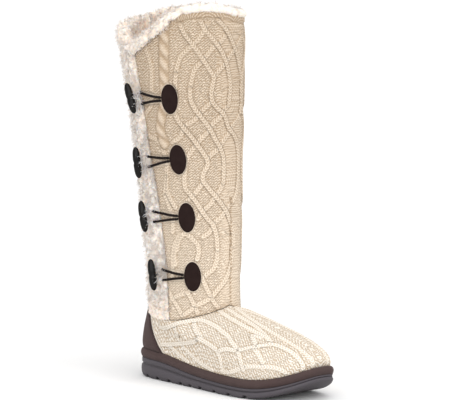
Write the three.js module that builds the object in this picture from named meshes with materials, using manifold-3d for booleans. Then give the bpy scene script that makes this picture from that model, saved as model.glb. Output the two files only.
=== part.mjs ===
// Tall knitted boot for the right foot, with a fur-filled slit on its outer side and four toggle fastenings.
// Millimetres, +Z up. While it is built, x runs from the back of the heel to the toe, y is positive on the
// inner side of the foot, and z is 0 on the floor. At the end the whole boot is centred over the origin.
import * as THREE from "three";
import { mergeVertices } from "three/addons/utils/BufferGeometryUtils.js";
import Module from "manifold-3d";

const wasm = await Module();
wasm.setup();

// Driving sizes
const SOLE_LENGTH = 268;
const KNIT_WALL = 3;
const SUEDE = 1.6;
const INSOLE_THICK = 4;
const GAP = 0.3;
const COLLAR_HEIGHT = 412;

// Sole heights: toe spring starts at the ball and lifts the tip
const TOE_SPRING = 22;
const SPRING_START = 190;
const SPRING_CURVE = 2.2;
const SOLE_STEPS = [
  { at: 0, rubber: 22, wrap: 10 },
  { at: 55, rubber: 21, wrap: 10 },
  { at: 110, rubber: 14.5, wrap: 9.5 },
  { at: 160, rubber: 12, wrap: 9 },
  { at: 215, rubber: 10.5, wrap: 9 },
  { at: 268, rubber: 7, wrap: 9.5 },
];

// Sole plan: half width before the ends are rounded, and the swing of the centre line to the inner side
const SOLE_PLAN = [
  { at: 0, full: 49, swing: 0 },
  { at: 30, full: 44.5, swing: 0 },
  { at: 60, full: 41, swing: -0.5 },
  { at: 95, full: 39.5, swing: -1.5 },
  { at: 130, full: 41.5, swing: -2 },
  { at: 165, full: 47, swing: -1 },
  { at: 195, full: 51, swing: 0.5 },
  { at: 225, full: 52, swing: 2.5 },
  { at: 250, full: 47.5, swing: 5 },
  { at: 268, full: 40, swing: 7 },
];
const SOLE_BLUNT = 0.62;

// Side of the rubber and of the wrap: share of the height, and how far it stands in from the sole's plan
const OUTSOLE_SIDE = [
  { share: 0, inset: 3.4 },
  { share: 0.14, inset: 0.9 },
  { share: 0.4, inset: 0 },
  { share: 0.6, inset: 0.5 },
  { share: 0.65, inset: 2 },
  { share: 0.72, inset: 2 },
  { share: 0.78, inset: 0.9 },
  { share: 1, inset: 0.9 },
];
const WRAP_SIDE = [
  { share: 0, inset: 1.6 },
  { share: 0.18, inset: 0.2 },
  { share: 0.5, inset: -0.6 },
  { share: 0.82, inset: 0.3 },
  { share: 1, inset: 2.4 },
];

// Cross grooves of the tread, from the heel forward
const GROOVE_DEPTH = 3;
const GROOVE_WIDTH = 4.6;
const GROOVES_AT = [26, 47, 68, 89, 107, 125, 151, 176, 200];

// Upper: rings from the sole's edge to the ankle seam. First the ends of each ring, on the heel and on the
// instep. Then its shape: follow is the share of the sole's top line in its height, rise its height over that
// line, dip how far its sides hang, heel and fore scale the sole's plan, leg is the share of the leg's oval, and
// full is how much its sides swell.
const UPPER_ENDS = [
  { back: 4.5, backZ: 32, front: 262, frontZ: 36 },
  { back: 4, backZ: 40, front: 263, frontZ: 42 },
  { back: 5, backZ: 50, front: 259.5, frontZ: 48 },
  { back: 7, backZ: 60, front: 249, frontZ: 55.5 },
  { back: 9.5, backZ: 70, front: 229, frontZ: 64.5 },
  { back: 12, backZ: 79, front: 200, frontZ: 73.5 },
  { back: 14, backZ: 86, front: 164, frontZ: 82.5 },
  { back: 15.5, backZ: 90.5, front: 141, frontZ: 87 },
];
const UPPER_SHAPES = [
  { follow: 1, rise: 0, dip: 0, heel: 0.93, fore: 0.93, leg: 0, blunt: 0.62, full: 0 },
  { follow: 1, rise: 7, dip: 0, heel: 0.96, fore: 0.96, leg: 0, blunt: 0.63, full: 0.005 },
  { follow: 0.6, rise: 14, dip: 2, heel: 0.98, fore: 0.95, leg: 0.05, blunt: 0.65, full: 0.024 },
  { follow: 0.2, rise: 24, dip: 8, heel: 1, fore: 0.9, leg: 0.15, blunt: 0.69, full: 0.063 },
  { follow: 0, rise: 0, dip: 14, heel: 1.02, fore: 0.85, leg: 0.35, blunt: 0.75, full: 0.085 },
  { follow: 0, rise: 0, dip: 20, heel: 1.04, fore: 0.82, leg: 0.6, blunt: 0.8, full: 0.075 },
  { follow: 0, rise: 0, dip: 22, heel: 1.06, fore: 0.82, leg: 0.9, blunt: 0.87, full: 0.03 },
  { follow: 0, rise: 0, dip: 21, heel: 1, fore: 1, leg: 1, blunt: 0.95, full: 0.01 },
];
const UPPER_RINGS = UPPER_ENDS.map((ends, i) => ({ ...ends, ...UPPER_SHAPES[i] }));
const RINGS_PER_ROW = 2;

// Leg: outline of the shaft at each height. Ends on the heel side and on the shin side, and half width
const LEG_LEVELS = [
  { z: 60, back: 15, front: 132, half: 46 },
  { z: 90, back: 16, front: 128, half: 45.5 },
  { z: 130, back: 15, front: 127, half: 46 },
  { z: 200, back: 9, front: 127, half: 50 },
  { z: 270, back: 1, front: 126, half: 55 },
  { z: 340, back: -6, front: 126, half: 59 },
  { z: 420, back: -12, front: 126, half: 61 },
];

// Ankle seam: its height at angles away from the back of the heel
const SEAM = [
  { away: 0, z: 94 },
  { away: 30, z: 92 },
  { away: 45, z: 87.5 },
  { away: 60, z: 77 },
  { away: 75, z: 73 },
  { away: 105, z: 73.5 },
  { away: 140, z: 80.5 },
  { away: 180, z: 90 },
];

// Slit on the outer side: angles of its two edges round the leg, 0 at the back, 90 at the outer side
const SLIT_EDGES = [
  { z: 70, front: 97.5, back: 45 },
  { z: 116, front: 95.5, back: 45 },
  { z: 198, front: 90.5, back: 45 },
  { z: 265, front: 83.5, back: 45 },
  { z: 330, front: 81, back: 44 },
  { z: 420, front: 76, back: 42 },
];
// Collar: height of its edge, by the share of the way round from the slit's front edge to its back edge
const COLLAR = [
  { at: 0, z: 370 },
  { at: 0.05, z: 381 },
  { at: 0.1, z: 395.5 },
  { at: 0.14, z: 406 },
  { at: 0.2, z: COLLAR_HEIGHT },
  { at: 0.27, z: 412.5 },
  { at: 0.38, z: 407 },
  { at: 0.65, z: 407 },
  { at: 0.85, z: 399 },
  { at: 1, z: 394 },
];
// Both edges of the slit stand away from the leg towards the collar
const FLARE = 8;
const FLARE_START = 270;
const FLARE_SPAN = 60;

// Heel counter: the angle of its front edge at shares of the upper's height
const COUNTER_EDGE = [
  { share: 0, angle: 53 },
  { share: 0.25, angle: 46 },
  { share: 0.5, angle: 40.5 },
  { share: 0.75, angle: 39.5 },
  { share: 1, angle: 41 },
];
const COUNTER_GAP = 0.7;
const COUNTER_COLUMNS = 12;
const COUNTER_ROWS = 9;

// Fur: pile in the slit, section of the collar roll round the rim, and the locks standing on both
const PILE_OUT = 3.5;
const COLLAR_ROLL = [
  { out: -3.6, rise: -30 },
  { out: -3.6, rise: 1.2 },
  { out: -0.5, rise: 1.8 },
  { out: 0.8, rise: 3.2 },
  { out: -1.2, rise: 5.2 },
  { out: -6, rise: 6 },
  { out: -10.5, rise: 3 },
  { out: -8, rise: -30 },
];
const LOCK_RADIUS = 4;
const LOCK_LENGTH = 8;
const SLIT_LOCKS = 18;
const COLLAR_LOCKS = 28;

// Toggle fastenings: height and angle of the patch, how far the toggle hangs below it, its angle and its lean
const FASTENINGS = [
  { z: 317, patch: 115.5, drop: 0, toggle: 76, lean: 14 },
  { z: 251, patch: 120, drop: 5, toggle: 75, lean: 2 },
  { z: 187.5, patch: 125.5, drop: 1, toggle: 76, lean: 8 },
  { z: 122.5, patch: 129.5, drop: 0, toggle: 84, lean: 8 },
];
const PATCH_WIDTH = 19;
const PATCH_HEIGHT = 32.5;
const CORD = 3;
const LOOP_SPREAD = 6.5;
const TOGGLE_LENGTH = 35;
const TOGGLE_RADIUS = 4.4;

const RING_POINTS = 48;
const LEG_COLUMNS = 41;
const SLIT_COLUMNS = 7;
const LEG_ROWS = 10;

// Finishes
const finish = (color, roughness, metalness = 0) =>
  new THREE.MeshStandardMaterial({ color, roughness, metalness });
const KNIT = finish(0xe6d8bd, 0.95);
const FUR = finish(0xf1e9e0, 1);
const BROWN_SUEDE = finish(0x33272a, 0.95);
const RUBBER = finish(0x4a474c, 0.6);
const FLEECE = finish(0xeae2d4, 1);
const BLACK_CORD = finish(0x1d1718, 0.8);
const HORN = finish(0x191416, 0.3);

// Curves from tables and shares
const clamp01 = (t) => Math.min(1, Math.max(0, t));
const mix = (a, b, t) => a + (b - a) * t;
const radians = THREE.MathUtils.degToRad;
const count = (length, make) => Array.from({ length }, (_, i) => make(i));
function ease(from, to, value) {
  const t = clamp01((value - from) / (to - from));
  return t * t * (3 - 2 * t);
}
function jitter(seed) {
  const value = Math.sin(seed * 12.9898) * 43758.5453;
  return value - Math.floor(value);
}

// A column of a table at a place along it, on a smooth curve through its rows
function read(rows, column, place, along = "at") {
  const last = rows.length - 1;
  let i = 0;
  while (i < last - 1 && place > rows[i + 1][along]) i += 1;
  const [a, b] = [rows[i], rows[i + 1]];
  const slope = (k) => {
    const [p, q] = [rows[Math.max(0, k - 1)], rows[Math.min(last, k + 1)]];
    return (q[column] - p[column]) / (q[along] - p[along]);
  };
  const span = b[along] - a[along];
  const t = clamp01((place - a[along]) / span);
  const [t2, t3] = [t * t, t * t * t];
  return (
    (2 * t3 - 3 * t2 + 1) * a[column] +
    (t3 - 2 * t2 + t) * span * slope(i) +
    (3 * t2 - 2 * t3) * b[column] +
    (t3 - t2) * span * slope(i + 1)
  );
}

// Meshes from rings and grids
function geometryOf(points, faces) {
  const geometry = new THREE.BufferGeometry().setFromPoints(points);
  geometry.setIndex(faces);
  geometry.computeVertexNormals();
  return geometry;
}

// Faces between two rows of point numbers
function strip(faces, lower, upper, closed) {
  const spans = closed ? lower.length : lower.length - 1;
  for (let i = 0; i < spans; i += 1) {
    const j = (i + 1) % lower.length;
    faces.push(lower[i], lower[j], upper[j], lower[i], upper[j], upper[i]);
  }
}

// A solid block through stacked rings, its ends closed across from the outer to the inner side
function stackedBlock(rings) {
  const size = rings[0].length;
  const row = (r) => count(size, (i) => r * size + i);
  const faces = [];
  for (let r = 0; r + 1 < rings.length; r += 1) strip(faces, row(r), row(r + 1), true);
  const cap = (first, flip) => {
    for (let i = 0; i < size / 2; i += 1) {
      const [a, b] = [first + i, first + i + 1];
      const [c, d] = [first + ((size - i) % size), first + ((size - i - 1) % size)];
      for (const t of [[a, b, d], [a, d, c]]) {
        if (new Set(t).size === 3) faces.push(...(flip ? t.reverse() : t));
      }
    }
  };
  cap(0, true);
  cap((rings.length - 1) * size, false);
  return geometryOf(rings.flat(), faces);
}

// A wall between two grids of the same size, outer and inner, open or closed round
function wall(outer, inner, closed) {
  const [rows, columns] = [outer.length, outer[0].length];
  const out = (r) => count(columns, (i) => r * columns + i);
  const inn = (r) => count(columns, (i) => (rows + r) * columns + i);
  const faces = [];
  for (let r = 0; r + 1 < rows; r += 1) {
    strip(faces, out(r), out(r + 1), closed);
    strip(faces, inn(r + 1), inn(r), closed);
  }
  strip(faces, inn(0), out(0), closed);
  strip(faces, out(rows - 1), inn(rows - 1), closed);
  if (!closed) {
    const side = (i, start) => count(rows, (r) => (start + r) * columns + i);
    strip(faces, side(0, 0), side(0, rows), false);
    strip(faces, side(columns - 1, rows), side(columns - 1, 0), false);
  }
  return geometryOf([...outer.flat(), ...inner.flat()], faces);
}

// Booleans
function solidOf(geometry) {
  const bare = geometry.clone();
  bare.deleteAttribute("normal");
  bare.deleteAttribute("uv");
  const merged = mergeVertices(bare, 1e-3);
  return new wasm.Manifold(
    new wasm.Mesh({
      numProp: 3,
      vertProperties: new Float32Array(merged.attributes.position.array),
      triVerts: new Uint32Array(merged.index.array),
    }),
  );
}

function geometryFrom(solid) {
  const mesh = solid.getMesh();
  const geometry = new THREE.BufferGeometry();
  geometry.setAttribute("position", new THREE.BufferAttribute(new Float32Array(mesh.vertProperties), 3));
  geometry.setIndex(new THREE.BufferAttribute(new Uint32Array(mesh.triVerts), 1));
  geometry.computeVertexNormals();
  return geometry;
}

// Sole surfaces over the length of the foot
function groundZ(x) {
  const share = clamp01((x - SPRING_START) / (SOLE_LENGTH - SPRING_START));
  return TOE_SPRING * Math.pow(share, SPRING_CURVE);
}
const rubberTopZ = (x) => groundZ(x) + read(SOLE_STEPS, "rubber", x);
const wrapTopZ = (x) => rubberTopZ(x) + GAP + read(SOLE_STEPS, "wrap", x);
const soleFull = (x) => read(SOLE_PLAN, "full", x);
const soleSwing = (x) => read(SOLE_PLAN, "swing", x);

// A point of a plan outline: angle 0 is the heel, 180 the toe, and the outer side comes first
function planPoint(angle, back, front, halfAt, swingAt, zAt) {
  const along = (1 - Math.cos(radians(angle))) / 2;
  const side = Math.sin(radians(angle));
  const x = mix(back, front, along);
  return new THREE.Vector3(x, swingAt(x) - Math.sign(side) * halfAt(x, Math.abs(side), along), zAt(x, along));
}
const ringOf = (pointAt) => count(RING_POINTS, (i) => pointAt((360 * i) / RING_POINTS));

// The ring moved in its own plan by a distance, inwards where it is positive
function insetRing(ring, distance) {
  return ring.map((p, i) => {
    const before = ring[(i + ring.length - 1) % ring.length];
    const after = ring[(i + 1) % ring.length];
    const way = new THREE.Vector2(after.x - before.x, after.y - before.y).normalize();
    return new THREE.Vector3(p.x - way.y * distance, p.y + way.x * distance, p.z);
  });
}

// Sole unit
const solePlan = ringOf((angle) =>
  planPoint(angle, 0, SOLE_LENGTH, (x, side) => soleFull(x) * Math.pow(side, SOLE_BLUNT), soleSwing, () => 0),
);
function soleBlock(side, bottomZ, topZ) {
  const rings = side.map(({ share, inset }) =>
    insetRing(solePlan, inset).map((p) => new THREE.Vector3(p.x, p.y, mix(bottomZ(p.x), topZ(p.x), share))),
  );
  return stackedBlock(rings);
}

function outsole() {
  let rubber = solidOf(soleBlock(OUTSOLE_SIDE, groundZ, rubberTopZ));
  for (const at of GROOVES_AT) {
    const groove = new THREE.BoxGeometry(GROOVE_WIDTH, SOLE_LENGTH, 2 * GROOVE_DEPTH);
    const slope = (groundZ(at + 1) - groundZ(at - 1)) / 2;
    groove.rotateY(-Math.atan(slope)).translate(at, 0, groundZ(at));
    rubber = rubber.subtract(solidOf(groove));
  }
  return geometryFrom(rubber);
}

function midsole() {
  return soleBlock(WRAP_SIDE, (x) => rubberTopZ(x) + GAP, wrapTopZ);
}

function insole() {
  const edge = insetRing(ringOf((angle) => ringPoint(UPPER_RINGS[0], angle)), KNIT_WALL + GAP);
  const rings = [0, 0.6, 1].map((share) =>
    insetRing(edge, share === 1 ? 1.2 : 0).map(
      (p) => new THREE.Vector3(p.x, p.y, wrapTopZ(p.x) + 2 * GAP + share * INSOLE_THICK),
    ),
  );
  return stackedBlock(rings);
}

// Leg outline at a height and an angle, moved outwards by a distance
const slitEdge = (side, z) => read(SLIT_EDGES, side, z, "z");
function legPoint(angle, z, out = 0) {
  const turn = radians(angle);
  const level = (column) => read(LEG_LEVELS, column, z, "z");
  const [back, front, half] = [level("back") - out, level("front") + out, level("half") + out];
  const fromBack = ((angle + 180) % 360) - 180 - slitEdge("back", z);
  const fromFront = angle - slitEdge("front", z);
  const inSlit = fromBack > 0 && fromFront < 0;
  const away = inSlit ? 0 : Math.min(Math.abs(fromBack), Math.abs(fromFront));
  const flare = FLARE * ease(FLARE_START, COLLAR_HEIGHT, z) * (1 - ease(0, FLARE_SPAN, away));
  return new THREE.Vector3(
    mix(back, front, (1 - Math.cos(turn)) / 2) - flare * Math.cos(turn),
    -half * Math.sin(turn) - flare * Math.sin(turn),
    z,
  );
}

// Heights of the ankle seam, by angle, and of the collar, by the share of the way round from the slit
function seamZ(angle) {
  const turn = angle % 360;
  return read(SEAM, "z", Math.min(turn, 360 - turn), "away");
}
const collarZ = (round) => read(COLLAR, "z", round);

// A place on the shaft, from the front edge of the slit round the shin to its back edge
function shaftPlace(round, up) {
  const start = mix(SLIT_EDGES[0].front, 360 + SLIT_EDGES[0].back, round);
  const z = mix(seamZ(start), collarZ(round), up);
  return { angle: mix(slitEdge("front", z), 360 + slitEdge("back", z), round), z };
}

// A place in the slit, from its back edge across to its front edge
function slitPlace(across, up) {
  const start = mix(SLIT_EDGES[0].back, SLIT_EDGES[0].front, across);
  const z = mix(seamZ(start), mix(collarZ(1), collarZ(0), across), up);
  return { angle: mix(slitEdge("back", z), slitEdge("front", z), across), z };
}

// Upper: a point of one ring of its outer face, and of the whole face between the rings
function ringPoint(row, angle) {
  const legHalf = read(LEG_LEVELS, "half", SEAM[0].z, "z");
  const half = (x, side, along) => {
    const foot = soleFull(x) * mix(row.heel, row.fore, along);
    const swell = 1 + 4 * row.full * along * (1 - along);
    return mix(foot, legHalf, row.leg) * Math.pow(side, row.blunt) * swell;
  };
  const swing = (x) => soleSwing(x) * (1 - row.leg);
  const height = (x, along) =>
    mix(mix(row.backZ, row.frontZ, along), wrapTopZ(x) + GAP + row.rise, row.follow) -
    4 * row.dip * along * (1 - along);
  return planPoint(angle, row.back, row.front, half, swing, height);
}
const seamPoint = (angle, out) => legPoint(angle, seamZ(angle), out).setZ(seamZ(angle) - 2 * GAP);
function upperPoint(share, angle) {
  const turn = (angle + 360) % 360;
  const points = [...UPPER_RINGS.map((row) => ringPoint(row, turn)), seamPoint(turn, 0)];
  return new THREE.CatmullRomCurve3(points).getPoint(share);
}

// The upper's face moved along its normal by a distance, inwards where it is negative
function upperOffset(share, angle, distance) {
  const [low, high] = [Math.max(0, share - 0.01), Math.min(1, share + 0.01)];
  const round = new THREE.Vector3().subVectors(upperPoint(share, angle + 2), upperPoint(share, angle - 2));
  const up = new THREE.Vector3().subVectors(upperPoint(high, angle), upperPoint(low, angle));
  const normal = new THREE.Vector3().crossVectors(round, up).normalize();
  return upperPoint(share, angle).addScaledVector(normal, distance);
}

function upper() {
  const steps = UPPER_RINGS.length * RINGS_PER_ROW;
  const face = (out) => count(steps + 1, (k) => ringOf((angle) => upperOffset(k / steps, angle, out)));
  const [outer, inner] = [face(0), face(-KNIT_WALL)];
  inner[0].forEach((p, i) => p.setZ(outer[0][i].z));
  inner.forEach((ring, k) => ring.forEach((p, i) => p.setZ(Math.min(p.z, outer[k][i].z))));
  inner[steps] = ringOf((angle) => seamPoint(angle, -KNIT_WALL));
  return wall(outer, inner, true);
}

// Suede over the heel, a skin on the upper's own face
function heelCounter() {
  const face = (out) =>
    count(COUNTER_ROWS + 1, (r) => {
      const share = mix(0.02, 0.965, r / COUNTER_ROWS);
      const edge = read(COUNTER_EDGE, "angle", share, "share");
      const angle = (c) => mix(-edge, edge, c / COUNTER_COLUMNS);
      return count(COUNTER_COLUMNS + 1, (c) => upperOffset(share, angle(c), out));
    });
  return wall(face(COUNTER_GAP + SUEDE), face(COUNTER_GAP), false);
}

// Shaft: a wall from the front edge of the slit round the leg to its back edge
function shaft() {
  const face = (out) =>
    count(LEG_ROWS + 1, (r) =>
      count(LEG_COLUMNS + 1, (c) => {
        const { angle, z } = shaftPlace(c / LEG_COLUMNS, r / LEG_ROWS);
        return legPoint(angle, z, out);
      }),
    );
  return wall(face(0), face(-KNIT_WALL), false);
}

// One lock of fur, rooted in the pile and pointing along a direction
function lock(root, direction, size) {
  const cone = new THREE.ConeGeometry(LOCK_RADIUS * size, LOCK_LENGTH * size, 4);
  cone.translate(0, (LOCK_LENGTH * size) / 3, 0);
  const turn = new THREE.Quaternion().setFromUnitVectors(new THREE.Vector3(0, 1, 0), direction.normalize());
  cone.applyQuaternion(turn).translate(root.x, root.y, root.z);
  return solidOf(cone);
}
const outwards = (angle) => new THREE.Vector3(-Math.cos(radians(angle)), -Math.sin(radians(angle)), 0);

// Height of the pile across the slit, and whether a fastening presses it flat there
const pileOut = (across) => PILE_OUT * Math.sqrt(Math.sin(Math.PI * clamp01(across)));
const PRESSED_SPAN = TOGGLE_LENGTH / 2 + LOCK_LENGTH;
const pressed = (z) => FASTENINGS.some((fastening) => Math.abs(fastening.z - z) < PRESSED_SPAN);

function furPlacket() {
  const edge = 0.012;
  const place = (c, r) => slitPlace(mix(edge, 1 - edge, c / SLIT_COLUMNS), r / LEG_ROWS);
  const face = (out) =>
    count(LEG_ROWS + 1, (r) =>
      count(SLIT_COLUMNS + 1, (c) => {
        const { angle, z } = place(c, r);
        return legPoint(angle, z, out(c / SLIT_COLUMNS));
      }),
    );
  const pile = face((across) => pileOut(mix(edge, 1 - edge, across)));
  let fur = solidOf(wall(pile, face(() => -KNIT_WALL), false));
  for (let i = 0; i < 2 * SLIT_LOCKS; i += 1) {
    const across = i % 2 ? mix(0.62, 0.82, jitter(i)) : mix(0.18, 0.38, jitter(i));
    const step = Math.floor(i / 2) + 0.7 + 0.5 * jitter(i + 50);
    const { angle, z } = slitPlace(across, step / (SLIT_LOCKS + 1));
    if (pressed(z) && i % 2) continue;
    const lean = outwards(angle).multiplyScalar(0.5).add(new THREE.Vector3(0, 0, -1));
    fur = fur.add(lock(legPoint(angle, z, pileOut(across) - 1.5), lean, mix(0.8, 1.1, jitter(i + 9))));
  }
  return geometryFrom(fur);
}

function furCollar() {
  const rim = [
    ...count(LEG_COLUMNS + 1, (c) => shaftPlace(c / LEG_COLUMNS, 1)),
    ...count(SLIT_COLUMNS - 1, (c) => slitPlace((c + 1) / SLIT_COLUMNS, 1)),
  ];
  const rows = COLLAR_ROLL.map(({ out, rise }) => rim.map(({ angle, z }) => legPoint(angle, z + rise, out)));
  const faces = [];
  const numbers = (k) => count(rim.length, (i) => k * rim.length + i);
  rows.forEach((_, k) => strip(faces, numbers(k), numbers((k + 1) % rows.length), true));
  let fur = solidOf(geometryOf(rows.flat(), faces));
  for (let i = 0; i < COLLAR_LOCKS; i += 1) {
    const { angle, z } = rim[Math.floor((i * rim.length) / COLLAR_LOCKS)];
    const sway = mix(-0.3, 0.3, jitter(i));
    const side = outwards(angle + 40 * (jitter(i + 7) - 0.5));
    const lean = side.multiplyScalar(sway).add(new THREE.Vector3(0, 0, 1));
    fur = fur.add(lock(legPoint(angle, z + 4, -8 + jitter(i + 3)), lean, mix(0.6, 0.9, jitter(i + 5))));
  }
  return geometryFrom(fur);
}

// Millimetres of the leg's outline in one degree
const perDegree = (angle, z) => legPoint(angle + 1, z).distanceTo(legPoint(angle - 1, z)) / 2;

// An oval suede patch lying on the knit
function patch(fastening) {
  const scale = perDegree(fastening.patch, fastening.z);
  const size = 16;
  const point = (ring, i, out) => {
    const turn = (2 * Math.PI * i) / size;
    const across = ((PATCH_WIDTH / 2) * ring * Math.cos(turn)) / scale;
    return legPoint(fastening.patch + across, fastening.z + (PATCH_HEIGHT / 2) * ring * Math.sin(turn), out);
  };
  const rings = [
    { ring: 1, out: GAP },
    { ring: 1, out: GAP + 0.6 * SUEDE },
    { ring: 0.93, out: GAP + SUEDE },
  ];
  return stackedBlock(rings.map(({ ring, out }) => count(size, (i) => point(ring, i, out))));
}

// A round cord along a path
function cord(path, steps) {
  const section = new THREE.Shape().absarc(0, 0, CORD / 2, 0, 2 * Math.PI);
  const options = { steps, curveSegments: 4, bevelEnabled: false, extrudePath: path };
  return new THREE.ExtrudeGeometry(section, options);
}

// Top of the pile or of the knit at an angle
function coverOut(angle, z) {
  const [back, front] = [slitEdge("back", z), slitEdge("front", z)];
  const across = (angle - back) / (front - back);
  return across > 0 && across < 1 ? pileOut(across) : 0;
}

// A loop from its patch across the pile, round under the toggle and back
function loop({ z, patch: patchAngle, drop, toggle }) {
  const start = patchAngle - (PATCH_WIDTH / 2 + GAP + 0.4) / perDegree(patchAngle, z);
  const leg = [
    { share: 0, spread: CORD / 2 + 0.3 },
    { share: 0.25, spread: 2.6 },
    { share: 0.5, spread: 4 },
    { share: 0.75, spread: 5.6 },
    { share: 0.95, spread: LOOP_SPREAD },
  ].map(({ share, spread }) => ({ angle: mix(start, toggle, share), spread, low: drop * share }));
  const bend = [
    { angle: toggle - 4, spread: 0.8 * LOOP_SPREAD, low: drop },
    { angle: toggle - 7, spread: 0, low: drop },
  ];
  const half = [...leg, ...bend];
  const returning = half.slice(0, -1).reverse().map((place) => ({ ...place, spread: -place.spread }));
  const points = [...half, ...returning].map(({ angle, spread, low }) => {
    const height = z + spread - low;
    return legPoint(angle, height, coverOut(angle, height) + CORD / 2 + 2.5 * GAP);
  });
  return cord(new THREE.CatmullRomCurve3(points), 20);
}

// A place over the cover at a fastening's toggle
function toggleAt({ z, drop, toggle }, rise, out) {
  return legPoint(toggle, z - drop + rise, coverOut(toggle, z - drop) + out);
}

// Toggle bar, leaning on its loop, and the stem that ties it down
const BAR_OUT = CORD + TOGGLE_RADIUS + 4.5 * GAP;
function toggleBar(fastening) {
  const half = TOGGLE_LENGTH / 2;
  const profile = [
    [0, -1],
    [0.45, -0.97],
    [0.78, -0.82],
    [0.95, -0.45],
    [1, 0],
    [0.95, 0.45],
    [0.78, 0.82],
    [0.45, 0.97],
    [0, 1],
  ].map(([across, along]) => new THREE.Vector2(across * TOGGLE_RADIUS, along * half));
  const bar = new THREE.LatheGeometry(profile, 10).rotateX(Math.PI / 2);
  const [low, high] = [toggleAt(fastening, -half, BAR_OUT), toggleAt(fastening, half, BAR_OUT)];
  const up = new THREE.Vector3().subVectors(high, low).normalize();
  bar.applyQuaternion(new THREE.Quaternion().setFromUnitVectors(new THREE.Vector3(0, 0, 1), up));
  const lean = radians(fastening.lean);
  bar.applyQuaternion(new THREE.Quaternion().setFromAxisAngle(outwards(fastening.toggle), lean));
  return bar.translate(...toggleAt(fastening, 0, BAR_OUT).toArray());
}
function stem(fastening) {
  const foot = toggleAt(fastening, 0, GAP);
  const top = toggleAt(fastening, 0, BAR_OUT - TOGGLE_RADIUS - GAP);
  return cord(new THREE.LineCurve3(foot, top), 1);
}

const boot = new THREE.Group();
function add(name, geometry, material) {
  const mesh = new THREE.Mesh(geometry, material);
  mesh.name = name;
  boot.add(mesh);
}

add("outsole", outsole(), RUBBER);
add("midsole", midsole(), BROWN_SUEDE);
add("insole", insole(), FLEECE);
add("upper", upper(), KNIT);
add("heel_counter", heelCounter(), BROWN_SUEDE);
add("shaft", shaft(), KNIT);
add("fur_placket", furPlacket(), FUR);
add("fur_collar", furCollar(), FUR);
FASTENINGS.forEach((fastening, i) => {
  add(`patch_${i + 1}`, patch(fastening), BROWN_SUEDE);
  add(`loop_${i + 1}`, loop(fastening), BLACK_CORD);
  add(`toggle_${i + 1}`, toggleBar(fastening), HORN);
  add(`toggle_cord_${i + 1}`, stem(fastening), BLACK_CORD);
});

// The origin is under the middle of the boot, on the floor
const box = new THREE.Box3().setFromObject(boot);
const centre = box.getCenter(new THREE.Vector3());
boot.children.forEach((mesh) => mesh.position.set(-centre.x, -centre.y, 0));

export default boot;
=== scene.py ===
"""Dresses the tall knitted boot for the right foot: cable knit, curly fur, suede, cords, horn and rubber."""

from __future__ import annotations

import logging
import math
from collections.abc import Callable
from dataclasses import dataclass, field
from enum import Enum

import bpy
import numpy as np
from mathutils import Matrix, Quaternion, Vector, kdtree

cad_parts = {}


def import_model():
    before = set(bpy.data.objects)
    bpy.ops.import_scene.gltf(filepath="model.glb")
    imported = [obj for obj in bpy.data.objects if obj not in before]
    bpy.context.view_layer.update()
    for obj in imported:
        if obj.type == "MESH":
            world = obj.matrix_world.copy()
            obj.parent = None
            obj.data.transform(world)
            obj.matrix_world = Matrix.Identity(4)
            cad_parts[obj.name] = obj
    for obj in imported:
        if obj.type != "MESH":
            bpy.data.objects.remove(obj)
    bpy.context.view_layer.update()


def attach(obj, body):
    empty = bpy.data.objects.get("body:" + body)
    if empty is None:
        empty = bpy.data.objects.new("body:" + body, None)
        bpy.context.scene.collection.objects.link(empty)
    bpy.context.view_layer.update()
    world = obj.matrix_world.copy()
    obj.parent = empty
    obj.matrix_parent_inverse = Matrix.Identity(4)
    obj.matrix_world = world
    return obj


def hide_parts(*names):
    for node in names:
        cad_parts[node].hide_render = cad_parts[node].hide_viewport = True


LOG = logging.getLogger("boot")
Array = np.ndarray
Table = tuple[tuple[float, ...], ...]
Heights = Callable[[Array], Array]
MM = 0.001
# The boot is shaped from the back of its heel, and stands centred over the origin
ORIGIN = np.array([-127.458, 6.049, 0.0])
SEED = 20
# Distance that stands for nothing near, in millimetres
FAR = 99.0


class RibLayer(Enum):
    """How a cable of the knit lies: on top of the others, under them, or twisted as a rope."""

    OVER = 1
    UNDER = 2
    ROPE = 3


def ease(start: float, end: float, value: Array) -> Array:
    """Smooth step from 0 at start to 1 at end."""
    t = np.clip((value - start) / (end - start), 0.0, 1.0)
    return t * t * (3.0 - 2.0 * t)


def mix(a: Array, b: Array, t: Array) -> Array:
    """Straight blend from a to b."""
    return a + (b - a) * t


def unit(vectors: Array) -> Array:
    """Vectors at length one."""
    return vectors / np.maximum(np.linalg.norm(vectors, axis=-1, keepdims=True), 1e-9)


def bell(value: Array, width: float) -> Array:
    """Smooth bump, 1 where the value is 0 and falling off on both sides."""
    return np.exp(-((value / width) ** 2))


def full_turn(count: int) -> Array:
    """Angles of a whole turn in radians."""
    return np.linspace(0.0, 2 * math.pi, count, endpoint=False)


def lengths(path: Array) -> Array:
    """Distance along a path at each of its points."""
    return np.concatenate([[0.0], np.cumsum(np.linalg.norm(np.diff(path, axis=0), axis=1))])


def read(rows: Table, column: int, place: Array) -> Array:
    """Smooth curve through one column of a table.

    Args:
        rows: table whose first column is the place.
        column: column to read.
        place: where to read it, held inside the table.

    Returns:
        The column's value at each place.
    """
    table = np.asarray(rows, float)
    x, y = table[:, 0], table[:, column]
    last = len(x) - 1
    step = np.arange(last + 1)
    before, after = np.maximum(0, step - 1), np.minimum(last, step + 1)
    slope = (y[after] - y[before]) / (x[after] - x[before])
    place = np.asarray(place, float)
    i = np.clip(np.searchsorted(x, place) - 1, 0, last - 1)
    span = x[i + 1] - x[i]
    t = np.clip((place - x[i]) / span, 0.0, 1.0)
    t2, t3 = t * t, t * t * t
    ends = (2 * t3 - 3 * t2 + 1) * y[i] + (3 * t2 - 2 * t3) * y[i + 1]
    return ends + span * ((t3 - 2 * t2 + t) * slope[i] + (t3 - t2) * slope[i + 1])


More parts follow.
